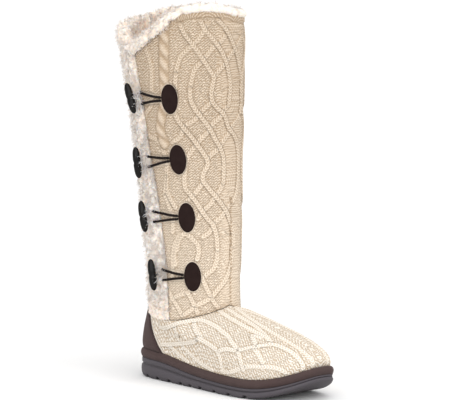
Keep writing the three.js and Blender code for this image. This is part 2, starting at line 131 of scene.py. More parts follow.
def spline(points: Array, share: Array) -> Array:
    """Centripetal curve through points.

    Args:
        points: stack of points along the first axis.
        share: place along the curve from 0 to 1, one for each curve of the stack.

    Returns:
        One point for each share.
    """
    stack = np.concatenate([2 * points[:1] - points[1:2], points, 2 * points[-1:] - points[-2:-1]])
    spans = len(points) - 1
    along = spans * share
    i = np.clip(np.floor(along).astype(int), 0, spans - 1)
    w = (along - i)[..., None]
    rest = tuple(np.indices(share.shape))
    p0, p1, p2, p3 = (stack[(i + k, *rest)] for k in range(4))

    def knot(a: Array, b: Array) -> Array:
        """Root of the distance between two rows of points."""
        return np.maximum(np.sqrt(np.linalg.norm(a - b, axis=-1, keepdims=True)), 1e-4)

    d0, d1, d2 = knot(p0, p1), knot(p1, p2), knot(p2, p3)
    t1 = ((p1 - p0) / d0 - (p2 - p0) / (d0 + d1) + (p2 - p1) / d1) * d1
    t2 = ((p2 - p1) / d1 - (p3 - p1) / (d1 + d2) + (p3 - p2) / d2) * d1
    curve = -3 * p1 + 3 * p2 - 2 * t1 - t2
    return p1 + t1 * w + curve * w**2 + (2 * p1 - 2 * p2 + t1 + t2) * w**3


def curve_through(points: Array, count: int) -> Array:
    """Count points on a smooth curve through a short row of points."""
    share = np.linspace(0.0, 1.0, count)
    return spline(np.repeat(np.asarray(points, float)[:, None, :], count, axis=1), share)


@dataclass(frozen=True)
class BootForm:
    """Shape of the boot in millimetres: x from the heel to the toe, y to the inner side, z up."""

    sole_length: float = 268.0
    gap: float = 0.3
    knit_wall: float = 3.0
    collar: float = 412.0
    toe_spring: float = 22.0
    spring_start: float = 190.0
    sole_steps: Table = (
        (0, 22, 10), (55, 21, 10), (110, 14.5, 9.5), (160, 12, 9), (215, 10.5, 9), (268, 7, 9.5),
    )
    sole_plan: Table = (
        (0, 49, 0), (30, 44.5, 0), (60, 41, -0.5), (95, 39.5, -1.5), (130, 41.5, -2),
        (165, 47, -1), (195, 51, 0.5), (225, 52, 2.5), (250, 47.5, 5), (268, 40, 7),
    )
    # Rings of the foot: heel x and z, instep x and z, then follow, rise, dip, heel, fore, leg, blunt, full
    rings: Table = (
        (4.5, 32, 262, 36, 1, 0, 0, 0.93, 0.93, 0, 0.62, 0),
        (4, 40, 263, 42, 1, 7, 0, 0.96, 0.96, 0, 0.63, 0.005),
        (5, 50, 259.5, 48, 0.6, 14, 2, 0.98, 0.95, 0.05, 0.65, 0.024),
        (7, 60, 249, 55.5, 0.2, 24, 8, 1, 0.9, 0.15, 0.69, 0.063),
        (9.5, 70, 229, 64.5, 0, 0, 14, 1.02, 0.85, 0.35, 0.75, 0.085),
        (12, 79, 200, 73.5, 0, 0, 20, 1.04, 0.82, 0.6, 0.8, 0.075),
        (14, 86, 164, 82.5, 0, 0, 22, 1.06, 0.82, 0.9, 0.87, 0.03),
        (15.5, 90.5, 141, 87, 0, 0, 21, 1, 1, 1, 0.95, 0.01),
    )
    leg_levels: Table = (
        (60, 15, 132, 46), (90, 16, 128, 45.5), (130, 15, 127, 46), (200, 9, 127, 50),
        (270, 1, 126, 55), (340, -6, 126, 59), (420, -12, 126, 61),
    )
    seam: Table = (
        (0, 94), (30, 92), (45, 87.5), (60, 77), (75, 73), (105, 73.5), (140, 80.5), (180, 90),
    )
    slit: Table = (
        (70, 97.5, 45), (116, 95.5, 45), (198, 90.5, 45), (265, 83.5, 45), (330, 81, 44), (420, 76, 42),
    )
    # Height of the collar edge, by the share of the way round from the slit's front edge to its back edge
    collar_edge: Table = (
        (0, 370), (0.05, 381), (0.1, 395.5), (0.14, 406), (0.2, 412), (0.27, 412.5), (0.38, 407), (0.65, 407),
        (0.85, 399), (1, 394),
    )

    def rubber_top(self, x: Array) -> Array:
        """Height of the rubber's top edge."""
        return self.ground(x) + read(self.sole_steps, 1, x)

    def wrap_top(self, x: Array) -> Array:
        """Height of the suede band's top edge."""
        return self.rubber_top(x) + self.gap + read(self.sole_steps, 2, x)

    def ground(self, x: Array) -> Array:
        """Height of the sole's underside, lifted at the toe."""
        share = np.clip((x - self.spring_start) / (self.sole_length - self.spring_start), 0.0, 1.0)
        return self.toe_spring * share**2.2

    def leg(self, angle: Array, z: Array, out: Array = 0.0) -> Array:
        """Point of the leg's outline.

        Args:
            angle: degrees round the leg, 0 at the back, 90 on the outer side, 180 on the shin.
            z: height.
            out: distance outwards from the knit's face.

        Returns:
            Points in millimetres.
        """
        angle, z = np.asarray(angle, float), np.asarray(z, float)
        turn = np.radians(angle)
        back, front, half = (read(self.leg_levels, k, z) for k in (1, 2, 3))
        from_back = (angle + 180.0) % 360.0 - 180.0 - read(self.slit, 2, z)
        from_front = angle - read(self.slit, 1, z)
        away = np.minimum(np.abs(from_back), np.abs(from_front))
        away = np.where((from_back > 0) & (from_front < 0), 0.0, away)
        flare = 8.0 * ease(270.0, self.collar, z) * (1.0 - ease(0.0, 60.0, away))
        x = mix(back - out, front + out, (1.0 - np.cos(turn)) / 2.0) - flare * np.cos(turn)
        y = -(half + out + flare) * np.sin(turn)
        return np.stack(np.broadcast_arrays(x, y, z), -1)

    def per_degree(self, angle: float, z: float) -> float:
        """Millimetres of the leg's outline in one degree."""
        return float(np.linalg.norm(self.leg(angle + 1, z) - self.leg(angle - 1, z)) / 2)

    def seam_z(self, angle: Array) -> Array:
        """Height of the ankle seam."""
        turn = np.asarray(angle, float) % 360.0
        return read(self.seam, 1, np.minimum(turn, 360.0 - turn))

    def collar_z(self, round_share: Array) -> Array:
        """Height of the collar edge, scooped in front of the slit and sinking gently behind it."""
        return read(self.collar_edge, 1, round_share)

    def shaft_place(self, round_share: Array, up: Array) -> tuple[Array, Array]:
        """Angle and height on the shaft, from the slit's front edge round the shin to its back edge.

        Args:
            round_share: 0 at the slit's front edge and 1 at its back edge.
            up: 0 at the ankle seam and 1 at the collar.

        Returns:
            Angles in degrees and heights in millimetres.
        """
        start = mix(self.slit[0][1], 360.0 + self.slit[0][2], round_share)
        z = mix(self.seam_z(start), self.collar_z(round_share), up)
        return mix(read(self.slit, 1, z), 360.0 + read(self.slit, 2, z), round_share), z

    def slit_place(self, across: Array, up: Array) -> tuple[Array, Array]:
        """Angle and height in the slit, from its back edge to its front edge.

        Args:
            across: 0 at the slit's back edge and 1 at its front edge.
            up: 0 at the ankle seam and 1 at the collar.

        Returns:
            Angles in degrees and heights in millimetres.
        """
        start = mix(self.slit[0][2], self.slit[0][1], across)
        top = mix(self.collar_z(1.0), self.collar_z(0.0), across)
        z = mix(self.seam_z(start), top, up)
        return mix(read(self.slit, 2, z), read(self.slit, 1, z), across), z

    def ring(self, row: tuple[float, ...], angle: Array) -> Array:
        """Point of one ring of the foot at an angle, 0 at the heel and 180 at the toe.

        Args:
            row: row of the table of rings.
            angle: angles in degrees.

        Returns:
            Points in millimetres.
        """
        back, back_z, front, front_z, follow, rise, dip, heel, fore, leg, blunt, full = row
        turn = np.radians(angle)
        along, side = (1.0 - np.cos(turn)) / 2.0, np.sin(turn)
        x = mix(back, front, along)
        foot = read(self.sole_plan, 1, x) * mix(heel, fore, along)
        half = mix(foot, read(self.leg_levels, 3, self.seam[0][1]), leg) * np.abs(side) ** blunt
        half = half * (1.0 + 4.0 * full * along * (1.0 - along))
        y = read(self.sole_plan, 2, x) * (1.0 - leg) - np.sign(side) * half
        own = mix(back_z, front_z, along)
        z = mix(own, self.wrap_top(x) + self.gap + rise, follow) - 4.0 * dip * along * (1.0 - along)
        return np.stack([x, y, z], -1)

    def upper(self, share: Array, angle: Array) -> Array:
        """Point of the foot's outer face, from the sole's edge at share 0 to the ankle seam at 1.

        Args:
            share: share of the way up from the sole's edge to the ankle seam.
            angle: angles in degrees, 0 at the heel and 180 at the toe.

        Returns:
            Points in millimetres.
        """
        share, angle = np.broadcast_arrays(np.asarray(share, float), np.asarray(angle, float) % 360.0)
        seam = self.leg(angle, self.seam_z(angle))
        seam[..., 2] -= 2 * self.gap
        return spline(np.stack([*(self.ring(row, angle) for row in self.rings), seam]), share)

    def upper_offset(self, share: Array, angle: Array, out: Array) -> Array:
        """The foot's face moved outwards along its normal.

        Args:
            share: share of the way up from the sole's edge to the ankle seam.
            angle: angles in degrees, 0 at the heel and 180 at the toe.
            out: distance outwards in millimetres.

        Returns:
            Points in millimetres.
        """
        around = self.upper(share, angle + 2.0) - self.upper(share, angle - 2.0)
        low, high = np.maximum(0.0, share - 0.01), np.minimum(1.0, share + 0.01)
        normal = unit(np.cross(around, self.upper(high, angle) - self.upper(low, angle)))
        return self.upper(share, angle) + normal * np.asarray(out)[..., None]

    def sole_ring(self, count: int, inset: float) -> Array:
        """Plan outline of the sole, moved inwards by a distance.

        Args:
            count: points of the outline.
            inset: distance inwards in millimetres.

        Returns:
            Places along the boot and across it, in millimetres.
        """
        turn = full_turn(count)
        x = self.sole_length * (1.0 - np.cos(turn)) / 2.0
        half = read(self.sole_plan, 1, x) * np.abs(np.sin(turn)) ** 0.62
        ring = np.stack([x, read(self.sole_plan, 2, x) - np.sign(np.sin(turn)) * half], -1)
        way = unit(np.roll(ring, -1, axis=0) - np.roll(ring, 1, axis=0))
        return ring + inset * np.stack([-way[:, 1], way[:, 0]], -1)


FORM = BootForm()


# Meshes from grids


def grid_faces(rows: int, columns: int, first: int = 0, closed: bool = False, flip: bool = False) -> Array:
    """Four-sided faces of a grid of points.

    Args:
        rows: rows of points.
        columns: points in a row.
        first: number of the grid's first point.
        closed: whether each row joins its own start.
        flip: whether the faces look the other way.

    Returns:
        Point numbers, four to a face.
    """
    spans = columns if closed else columns - 1
    r, c = np.meshgrid(np.arange(rows - 1), np.arange(spans), indexing="ij")
    n = (c + 1) % columns
    corners = [r * columns + c, r * columns + n, (r + 1) * columns + n, (r + 1) * columns + c]
    faces = np.stack([k.ravel() for k in corners], -1) + first
    return faces[:, ::-1] if flip else faces


def hem_faces(fine: Array, coarse: Array, flip: bool) -> Array:
    """Triangles between a finely and a coarsely divided edge that run side by side.

    Args:
        fine: point numbers along the finely divided edge.
        coarse: point numbers along the coarsely divided edge.
        flip: whether the faces look the other way.

    Returns:
        Point numbers, three to a face.
    """
    step = (len(fine) - 1) // (len(coarse) - 1)
    found = []
    for k in range(len(coarse) - 1):
        middle = k * step + step // 2
        for i in range(k * step, (k + 1) * step):
            found.append((fine[i], coarse[k] if i < middle else coarse[k + 1], fine[i + 1]))
        found.append((fine[middle], coarse[k], coarse[k + 1]))
    faces = np.array(found)
    return faces if flip else faces[:, ::-1]


def grid_normals(points: Array, closed: bool = False) -> Array:
    """Outward unit normals of a grid whose rows go round and whose columns go up.

    Args:
        points: grid of points.
        closed: whether each row joins its own start.

    Returns:
        One normal for each point.
    """
    if closed:
        around = np.roll(points, -1, axis=1) - np.roll(points, 1, axis=1)
    else:
        around = np.gradient(points, axis=1)
    return unit(np.cross(around, np.gradient(points, axis=0)))


@dataclass
class MeshParts:
    """Points and faces of one piece, gathered before its mesh is made."""

    points: list[Array] = field(default_factory=list)
    faces: list[Array] = field(default_factory=list)
    tones: list[Array] = field(default_factory=list)
    weaves: list[Array] = field(default_factory=list)
    count: int = 0

    def add(
        self, points: Array, faces: list[Array], tone: Array | float = 1.0, weave: Array | None = None
    ) -> int:
        """Adds points with their faces, numbered from the first of them.

        Args:
            points: any stack of points in millimetres.
            faces: arrays of point numbers.
            tone: painted shade of each point, 0 in the recesses and 1 on the crests.
            weave: place in the knit, as millimetres across and along its rows, turn of the cable's stitches
                and share of plain rows.

        Returns:
            Number of the first added point.
        """
        flat = np.asarray(points, float).reshape(-1, 3)
        first = self.count
        self.points.append(flat)
        self.faces.extend(np.asarray(f) + first for f in faces)
        self.tones.append(np.broadcast_to(np.asarray(tone, float).ravel(), (len(flat),)))
        self.weaves.append(np.zeros((len(flat), 4)) if weave is None else weave.reshape(-1, 4))
        self.count += len(flat)
        return first

    def build(self, name: str, material: bpy.types.Material, edges: Array | None = None) -> bpy.types.Object:
        """Makes the mesh object in the boot's frame.

        Args:
            name: name of the piece.
            material: its finish.
            edges: pairs of points whose edge stays sharp.

        Returns:
            The new object, linked to the scene.
        """
        points = (np.concatenate(self.points) + ORIGIN) * MM
        sizes = np.concatenate([np.full(len(f), f.shape[1]) for f in self.faces])
        loops = np.concatenate([f.ravel() for f in self.faces]).astype(np.int32)
        mesh = bpy.data.meshes.new(name)
        mesh.vertices.add(len(points))
        mesh.vertices.foreach_set("co", points.astype(np.float32).ravel())
        mesh.loops.add(len(loops))
        mesh.loops.foreach_set("vertex_index", loops)
        mesh.polygons.add(len(sizes))
        mesh.polygons.foreach_set("loop_start", (np.cumsum(sizes) - sizes).astype(np.int32))
        mesh.update(calc_edges=True)
        mesh.polygons.foreach_set("use_smooth", np.ones(len(sizes), bool))
        tone = mesh.attributes.new("tone", "FLOAT", "POINT")
        tone.data.foreach_set("value", np.concatenate(self.tones).astype(np.float32))
        weave = np.concatenate(self.weaves).astype(np.float32)
        if weave.any():
            place = mesh.attributes.new("weave", "FLOAT_VECTOR", "POINT")
            place.data.foreach_set("vector", np.ascontiguousarray(weave[:, :3]).ravel())
            plain = mesh.attributes.new("plain_rows", "FLOAT", "POINT")
            plain.data.foreach_set("value", np.ascontiguousarray(weave[:, 3]))
        if edges is not None:
            self.sharpen(mesh, edges)
        mesh.materials.append(material)
        piece = bpy.data.objects.new(name, mesh)
        bpy.context.scene.collection.objects.link(piece)
        return piece

    @staticmethod
    def sharpen(mesh: bpy.types.Mesh, edges: Array) -> None:
        """Marks the edges between the given pairs of points as sharp.

        Args:
            mesh: mesh that has the edges.
            edges: pairs of point numbers.
        """
        pairs = np.zeros(2 * len(mesh.edges), np.int32)
        mesh.edges.foreach_get("vertices", pairs)
        size = len(mesh.vertices)
        key = np.sort(pairs.reshape(-1, 2).astype(np.int64), axis=1) @ np.array([size, 1])
        wanted = np.sort(np.asarray(edges, np.int64), axis=1) @ np.array([size, 1])
        sharp = mesh.attributes.new("sharp_edge", "BOOLEAN", "EDGE")
        sharp.data.foreach_set("value", np.isin(key, wanted))


def dress(piece: bpy.types.Object, slot: str, *nodes: str) -> bpy.types.Object:
    """Fixes a piece to the boot and says what it stands for.

    Args:
        piece: the made piece.
        slot: material slot of the record; not used.
        nodes: solids that the piece replaces.

    Returns:
        The same piece.
    """
    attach(piece, "root")
    if nodes:
        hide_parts(*nodes)
    LOG.info("%s: %d faces, stands for %s", piece.name, len(piece.data.polygons), ", ".join(nodes) or "trim")
    return piece


def pairs_along(numbers: Array) -> Array:
    """Neighbouring pairs of a row of point numbers."""
    return np.stack([numbers[:-1], numbers[1:]], -1)


def open_wall(outer: Array, inner: Array, tone: Array, weave: Array | None = None) -> tuple[MeshParts, Array]:
    """Closed wall with a fine outer face and a coarse inner face.

    Args:
        outer: fine grid of points.
        inner: coarse grid over the same area.
        tone: painted shade of the outer points.
        weave: their place in the knit.

    Returns:
        The parts, and the edges of its rim that stay sharp.
    """
    rows, columns = outer.shape[:2]
    low, wide = inner.shape[:2]
    parts = MeshParts()
    parts.add(outer, [grid_faces(rows, columns)], tone, weave)
    first = parts.add(inner, [grid_faces(low, wide, flip=True)], float(np.mean(tone)))
    fine = np.arange(rows * columns).reshape(rows, columns)
    coarse = np.arange(low * wide).reshape(low, wide) + first
    sides = (
        (fine[0], coarse[0], True),
        (fine[-1], coarse[-1], False),
        (fine[:, 0], coarse[:, 0], False),
        (fine[:, -1], coarse[:, -1], True),
    )
    parts.faces.extend(hem_faces(*side) for side in sides)
    return parts, np.concatenate([pairs_along(side[0]) for side in sides])


def stacked_block(rings: Array, tone: Array | float = 1.0) -> MeshParts:
    """Solid through stacked rings, its ends closed across from side to side.

    Args:
        rings: outlines with the same number of points, from the bottom up.
        tone: painted shade of each point, 0 in the recesses and 1 on the crests.

    Returns:
        The solid, ready to build.
    """
    rows, size = rings.shape[:2]
    half = np.arange(size // 2)
    across = np.stack([half, half + 1, (size - half - 1) % size, (size - half) % size], -1)
    bottom, top = across[:, ::-1], across + (rows - 1) * size
    caps = []
    for cap in (bottom, top):
        whole = np.array([len(set(face)) == 4 for face in cap])
        caps.append(cap[whole])
        caps.append(np.array([list(dict.fromkeys(face)) for face in cap[~whole]]))
    parts = MeshParts()
    parts.add(rings, [grid_faces(rows, size, closed=True), *caps], tone)
    return parts


def tube(parts: MeshParts, path: Array, radius: Array, sides: int, tone: float = 1.0) -> None:
    """Adds a round rod along a path, closed to a point at both ends.

    Args:
        parts: piece that the rod joins.
        path: points of its centre line.
        radius: its radius at each point.
        sides: faces round it.
        tone: its painted shade.
    """
    way = unit(np.gradient(path, axis=0))
    side = unit(np.cross(way, [0.31, 0.17, 0.93]))
    up = np.cross(way, side)
    turn = full_turn(sides)
    ring = np.cos(turn)[None, :, None] * side[:, None] + np.sin(turn)[None, :, None] * up[:, None]
    rows = path[:, None] + ring * np.asarray(radius)[:, None, None]
    count = len(path)
    points = np.concatenate([rows.reshape(-1, 3), path[:1], path[-1:]])
    k = np.arange(sides)
    n = (k + 1) % sides
    start = np.stack([np.full(sides, count * sides), n, k], -1)
    end = np.stack([np.full(sides, count * sides + 1), k, n], -1)
    end[:, 1:] += (count - 1) * sides
    parts.add(points, [grid_faces(count, sides, closed=True), start, end], tone)


# Shader groups and finishes


class Nodes:
    """Short hand for building a node tree."""

    def __init__(self, tree: bpy.types.NodeTree) -> None:
        """Takes the tree to build in."""
        self.tree = tree

    def add(
        self, kind: str, values: dict[str | int, object] | None = None, **options: object
    ) -> bpy.types.Node:
        """Adds a node with its options set and its sockets filled.

        Args:
            kind: node type.
            values: socket name or number, with a constant or an output socket to link.
            options: properties of the node itself.

        Returns:
            The new node.
        """
        node = self.tree.nodes.new(kind)
        for name, value in options.items():
            setattr(node, name, value)
        for key, value in (values or {}).items():
            if isinstance(value, bpy.types.NodeSocket):
                self.tree.links.new(value, node.inputs[key])
            else:
                node.inputs[key].default_value = value
        return node

    def maths(self, kind: str, first: object, second: object = 0.0, clamp: bool = False) -> object:
        """Output of one sum."""
        values = {0: first, 1: second}
        return self.add("ShaderNodeMath", values, operation=kind, use_clamp=clamp).outputs[0]

    def noise(self, place: object, scale: object, detail: float) -> object:
        """Output of a noise texture."""
        values = {"Vector": place, "Scale": scale, "Detail": detail}
        return self.add("ShaderNodeTexNoise", values).outputs[0]

    def blend(self, share: object, first: object, second: object) -> object:
        """Number between two numbers."""
        return self.add("ShaderNodeMix", {0: share, 2: first, 3: second}, data_type="FLOAT").outputs[0]

    def tint(self, share: object, first: object, second: object) -> object:
        """Colour between two colours."""
        return self.add("ShaderNodeMix", {0: share, 6: first, 7: second}, data_type="RGBA").outputs[2]


def new_group(name: str, inputs: dict[str, float], outputs: tuple[str, ...]) -> tuple[Nodes, object, object]:
    """Starts a shader group with number sockets.

    Args:
        name: name of the group.
        inputs: its inputs with their values.
        outputs: its outputs.

    Returns:
        The builder, the group's input node and its output node.
    """
    tree = bpy.data.node_groups.new(name, "ShaderNodeTree")
    for label, value in inputs.items():
        tree.interface.new_socket(label, in_out="INPUT", socket_type="NodeSocketFloat").default_value = value
    for label in outputs:
        tree.interface.new_socket(label, in_out="OUTPUT", socket_type="NodeSocketFloat")
    nodes = Nodes(tree)
    return nodes, nodes.add("NodeGroupInput"), nodes.add("NodeGroupOutput")


def grain_group() -> bpy.types.NodeTree:
    """Group for fibre, nap and moulding grain: a height made of a coarse and a fine noise.

    Returns:
        The group, with a Height output.
    """
    inputs = {"Coarse": 400.0, "Fine": 2500.0, "Share": 0.5}
    nodes, given, result = new_group("surface_grain", inputs, ("Height",))
    place = nodes.add("ShaderNodeTexCoord").outputs["Object"]
    coarse = nodes.noise(place, given.outputs["Coarse"], 3.0)
    fine = nodes.noise(place, given.outputs["Fine"], 2.0)
    height = nodes.blend(given.outputs["Share"], coarse, fine)
    nodes.tree.links.new(height, result.inputs["Height"])
    return nodes.tree


def mottle_group() -> bpy.types.NodeTree:
    """Group for uneven colour: a soft mask of large and small clouds.

    Returns:
        The group, with a Mask output.
    """
    nodes, given, result = new_group("uneven_colour", {"Scale": 40.0, "Contrast": 2.0}, ("Mask",))
    place = nodes.add("ShaderNodeTexCoord").outputs["Object"]
    centred = nodes.maths("SUBTRACT", nodes.noise(place, given.outputs["Scale"], 5.0), 0.5)
    spread = nodes.maths("MULTIPLY", centred, given.outputs["Contrast"])
    nodes.tree.links.new(nodes.maths("ADD", spread, 0.5, clamp=True), result.inputs["Mask"])
    return nodes.tree


def purl_group() -> bpy.types.NodeTree:
    """Group for the knit's stitches: zigzag purl rows, and slanting stitches on the cables.

    Returns:
        The group, with a Height output.
    """
    inputs = {"Pitch": 2.9, "Stitch": 3.7, "Zigzag": 2.1}
    nodes, given, result = new_group("knit_stitches", inputs, ("Height",))
    maths = nodes.maths
    weave = nodes.add("ShaderNodeAttribute", attribute_name="weave").outputs["Vector"]
    plain = nodes.add("ShaderNodeAttribute", attribute_name="plain_rows").outputs["Fac"]
    course, wale, turn = nodes.add("ShaderNodeSeparateXYZ", {0: weave}).outputs
    flat = nodes.add("ShaderNodeCombineXYZ", {0: course, 1: wale}).outputs[0]
    drift = maths("MULTIPLY", maths("SUBTRACT", nodes.noise(flat, 0.2, 3.0), 0.5), 9.0)
    half = maths("MULTIPLY", given.outputs["Stitch"], 0.5)
    swing = maths("DIVIDE", maths("PINGPONG", maths("ADD", wale, drift), half), half)
    zigzag = maths("MULTIPLY", swing, maths("MULTIPLY", given.outputs["Zigzag"], 2.0))
    turns = maths("DIVIDE", maths("MULTIPLY", course, 2 * math.pi), given.outputs["Pitch"])
    rows = maths("COSINE", maths("ADD", maths("ADD", turns, zigzag), drift))
    strands = maths("MULTIPLY", maths("COSINE", maths("MULTIPLY", turn, 2 * math.pi)), 0.75)
    nodes.tree.links.new(nodes.blend(plain, strands, rows), result.inputs["Height"])
    return nodes.tree


@dataclass
class Effects:
    """Shader groups that the finishes share."""

    grain: bpy.types.NodeTree = field(default_factory=grain_group)
    mottle: bpy.types.NodeTree = field(default_factory=mottle_group)
    purl: bpy.types.NodeTree = field(default_factory=purl_group)


@dataclass(frozen=True)
class Finish:
    """Look of one material: colours from painted shade in its recesses to its lit crests, gloss and grain."""

    name: str
    recess_shade: tuple[float, float, float]
    crest: tuple[float, float, float]
    cloud: tuple[float, float, float]
    cloud_scale: float
    cloud_share: float
    roughness: float
    coarse: float
    fine: float
    fine_share: float
    bump: float
    depth: float
    sheen: float = 0.0
    sheen_tint: tuple[float, float, float] = (1.0, 1.0, 1.0)
    coat: float = 0.0
    specular: float = 0.3
    subsurface: float = 0.0
    stitches: float = 0.0

    def material(self, effects: Effects) -> bpy.types.Material:
        """Builds the material.

        Args:
            effects: shared shader groups.

        Returns:
            The material, ready for a piece.
        """
        made = bpy.data.materials.new(self.name)
        made.use_nodes = True
        made.node_tree.nodes.clear()
        nodes = Nodes(made.node_tree)
        tone = nodes.add("ShaderNodeAttribute", attribute_name="tone").outputs["Fac"]
        relief = None
        if self.stitches:
            purl = nodes.add("ShaderNodeGroup", node_tree=effects.purl).outputs[0]
            # The stitches' heights also shift the tone: painted shade in their hollows
            tone = nodes.maths("ADD", tone, nodes.maths("MULTIPLY", purl, self.stitches), clamp=True)
            stitch = {"Strength": 0.9, "Distance": 0.0004, "Height": purl}
            relief = nodes.add("ShaderNodeBump", stitch).outputs[0]
        # Painted shade: the tone picks each point's colour, from the shaded recess colour to the lit crest
        # colour
        shade = nodes.tint(tone, (*self.recess_shade, 1.0), (*self.crest, 1.0))
        mask = nodes.add("ShaderNodeGroup", node_tree=effects.mottle)
        mask.inputs["Scale"].default_value = self.cloud_scale
        share = nodes.maths("MULTIPLY", mask.outputs[0], self.cloud_share)
        colour = nodes.tint(share, shade, (*self.cloud, 1.0))
        grain = nodes.add("ShaderNodeGroup", node_tree=effects.grain)
        for label, value in (("Coarse", self.coarse), ("Fine", self.fine), ("Share", self.fine_share)):
            grain.inputs[label].default_value = value
        bump = nodes.add(
            "ShaderNodeBump",
            {"Strength": self.bump, "Distance": self.depth, "Height": grain.outputs["Height"]},
        )
        if relief:
            made.node_tree.links.new(relief, bump.inputs["Normal"])
        shader = nodes.add(
            "ShaderNodeBsdfPrincipled",
            {
                "Base Color": colour,
                "Roughness": self.roughness,
                "Specular IOR Level": self.specular,
                "Sheen Weight": self.sheen,
                "Sheen Tint": (*self.sheen_tint, 1.0),
                "Coat Weight": self.coat,
                "Coat Roughness": 0.12,
                "Subsurface Weight": self.subsurface,
                "Subsurface Scale": 0.005,
                "Normal": bump.outputs["Normal"],
            },
        )
        shader.inputs["Subsurface Radius"].default_value = (1.0, 0.8, 0.6)
        nodes.add("ShaderNodeOutputMaterial", {"Surface": shader.outputs[0]})
        return made


KNIT_LEG = Finish(
    "cable_knit_leg", (0.38, 0.275, 0.18), (0.86, 0.745, 0.61), (0.68, 0.55, 0.42), 22.0, 0.15,
    0.95, 1500.0, 5200.0, 0.45, 0.4, 0.0003, specular=0.15, stitches=0.42,
)
KNIT_FOOT = Finish(
    "cable_knit_foot", (0.47, 0.34, 0.21), (0.91, 0.855, 0.77), (0.82, 0.74, 0.63), 22.0, 0.15,
    0.95, 1500.0, 5200.0, 0.45, 0.4, 0.0003, specular=0.15, stitches=0.42,
)
FUR = Finish(
    "curly_fur", (0.78, 0.61, 0.475), (0.915, 0.85, 0.785), (0.88, 0.73, 0.6), 60.0, 0.35,
    1.0, 900.0, 4200.0, 0.5, 0.3, 0.0004, specular=0.05, subsurface=0.75,
)
FLEECE = Finish(
    "fleece_lining", (0.7, 0.6, 0.5), (0.88, 0.83, 0.75), (0.8, 0.71, 0.62), 60.0, 0.3,
    1.0, 500.0, 2600.0, 0.5, 0.7, 0.001, specular=0.1,
)
PATCH_SUEDE = Finish(
    "dark_suede", (0.009, 0.0045, 0.004), (0.016, 0.0085, 0.0077), (0.028, 0.017, 0.0155), 120.0, 0.45,
    0.95, 900.0, 5000.0, 0.5, 0.45, 0.0003, sheen=0.04, sheen_tint=(0.9, 0.7, 0.62), specular=0.08,
)
SUEDE = Finish(
    "brown_suede", (0.036, 0.023, 0.0225), (0.062, 0.041, 0.0395), (0.085, 0.059, 0.056), 90.0, 0.45,
    0.95, 900.0, 5000.0, 0.5, 0.45, 0.0003, sheen=0.1, sheen_tint=(0.9, 0.74, 0.7), specular=0.12,
)
RUBBER = Finish(
    "grey_rubber", (0.026, 0.022, 0.024), (0.095, 0.084, 0.096), (0.07, 0.062, 0.069), 50.0, 0.35,
    0.6, 700.0, 3500.0, 0.5, 0.2, 0.0003, specular=0.25,
)
CORD = Finish(
    "waxed_cord", (0.006, 0.004, 0.004), (0.012, 0.0085, 0.008), (0.02, 0.014, 0.013), 200.0, 0.3,
    0.75, 1500.0, 6000.0, 0.5, 0.4, 0.0002, specular=0.1,
)
HORN = Finish(
    "dark_horn", (0.002, 0.0017, 0.0015), (0.004, 0.0033, 0.003), (0.02, 0.017, 0.015), 90.0, 0.25,
    0.3, 300.0, 2500.0, 0.4, 0.12, 0.0003, coat=0.3, specular=0.02,
)


@dataclass
class Wardrobe:
    """Materials of the boot, made once."""

    effects: Effects = field(default_factory=Effects)
    made: dict[str, bpy.types.Material] = field(default_factory=dict)

    def get(self, finish: Finish) -> bpy.types.Material:
        """The material of a finish.

        Args:
            finish: finish that is asked for.

        Returns:
            Its material, made the first time.
        """
        if finish.name not in self.made:
            self.made[finish.name] = finish.material(self.effects)
        return self.made[finish.name]


# Fastenings: height, patch angle, drop of the toggle, toggle angle and lean
@dataclass(frozen=True)
class Fastening:
    """Place of one toggle fastening on the leg."""

    number: int
    z: float
    patch: float
    drop: float
    toggle: float
    lean: float


FASTENINGS = (
    Fastening(1, 317.0, 115.5, 0.0, 76.0, 14.0),
    Fastening(2, 251.0, 120.0, 5.0, 75.0, 2.0),
    Fastening(3, 187.5, 125.5, 1.0, 76.0, 8.0),
    Fastening(4, 122.5, 129.5, 0.0, 84.0, 8.0),
)
PATCH_WIDTH, PATCH_HEIGHT, PATCH_THICK = 19.0, 32.5, 1.6
CORD_WIDTH, LOOP_SPREAD = 3.0, 6.5
TOGGLE_LENGTH, TOGGLE_RADIUS = 35.0, 4.4
PILE_OUT = 3.5


def pile_out(across: Array) -> Array:
    """Height of the pile across the slit."""
    return PILE_OUT * np.sqrt(np.sin(math.pi * np.clip(across, 0.0, 1.0)))


def cover_out(angle: Array, z: Array) -> Array:
    """Top of the pile, or of the knit, at an angle."""
    back, front = read(FORM.slit, 2, z), read(FORM.slit, 1, z)
    return pile_out((angle - back) / (front - back))


# Knit

Chart = dict[RibLayer, tuple[tuple[tuple[float, float], ...], ...]]

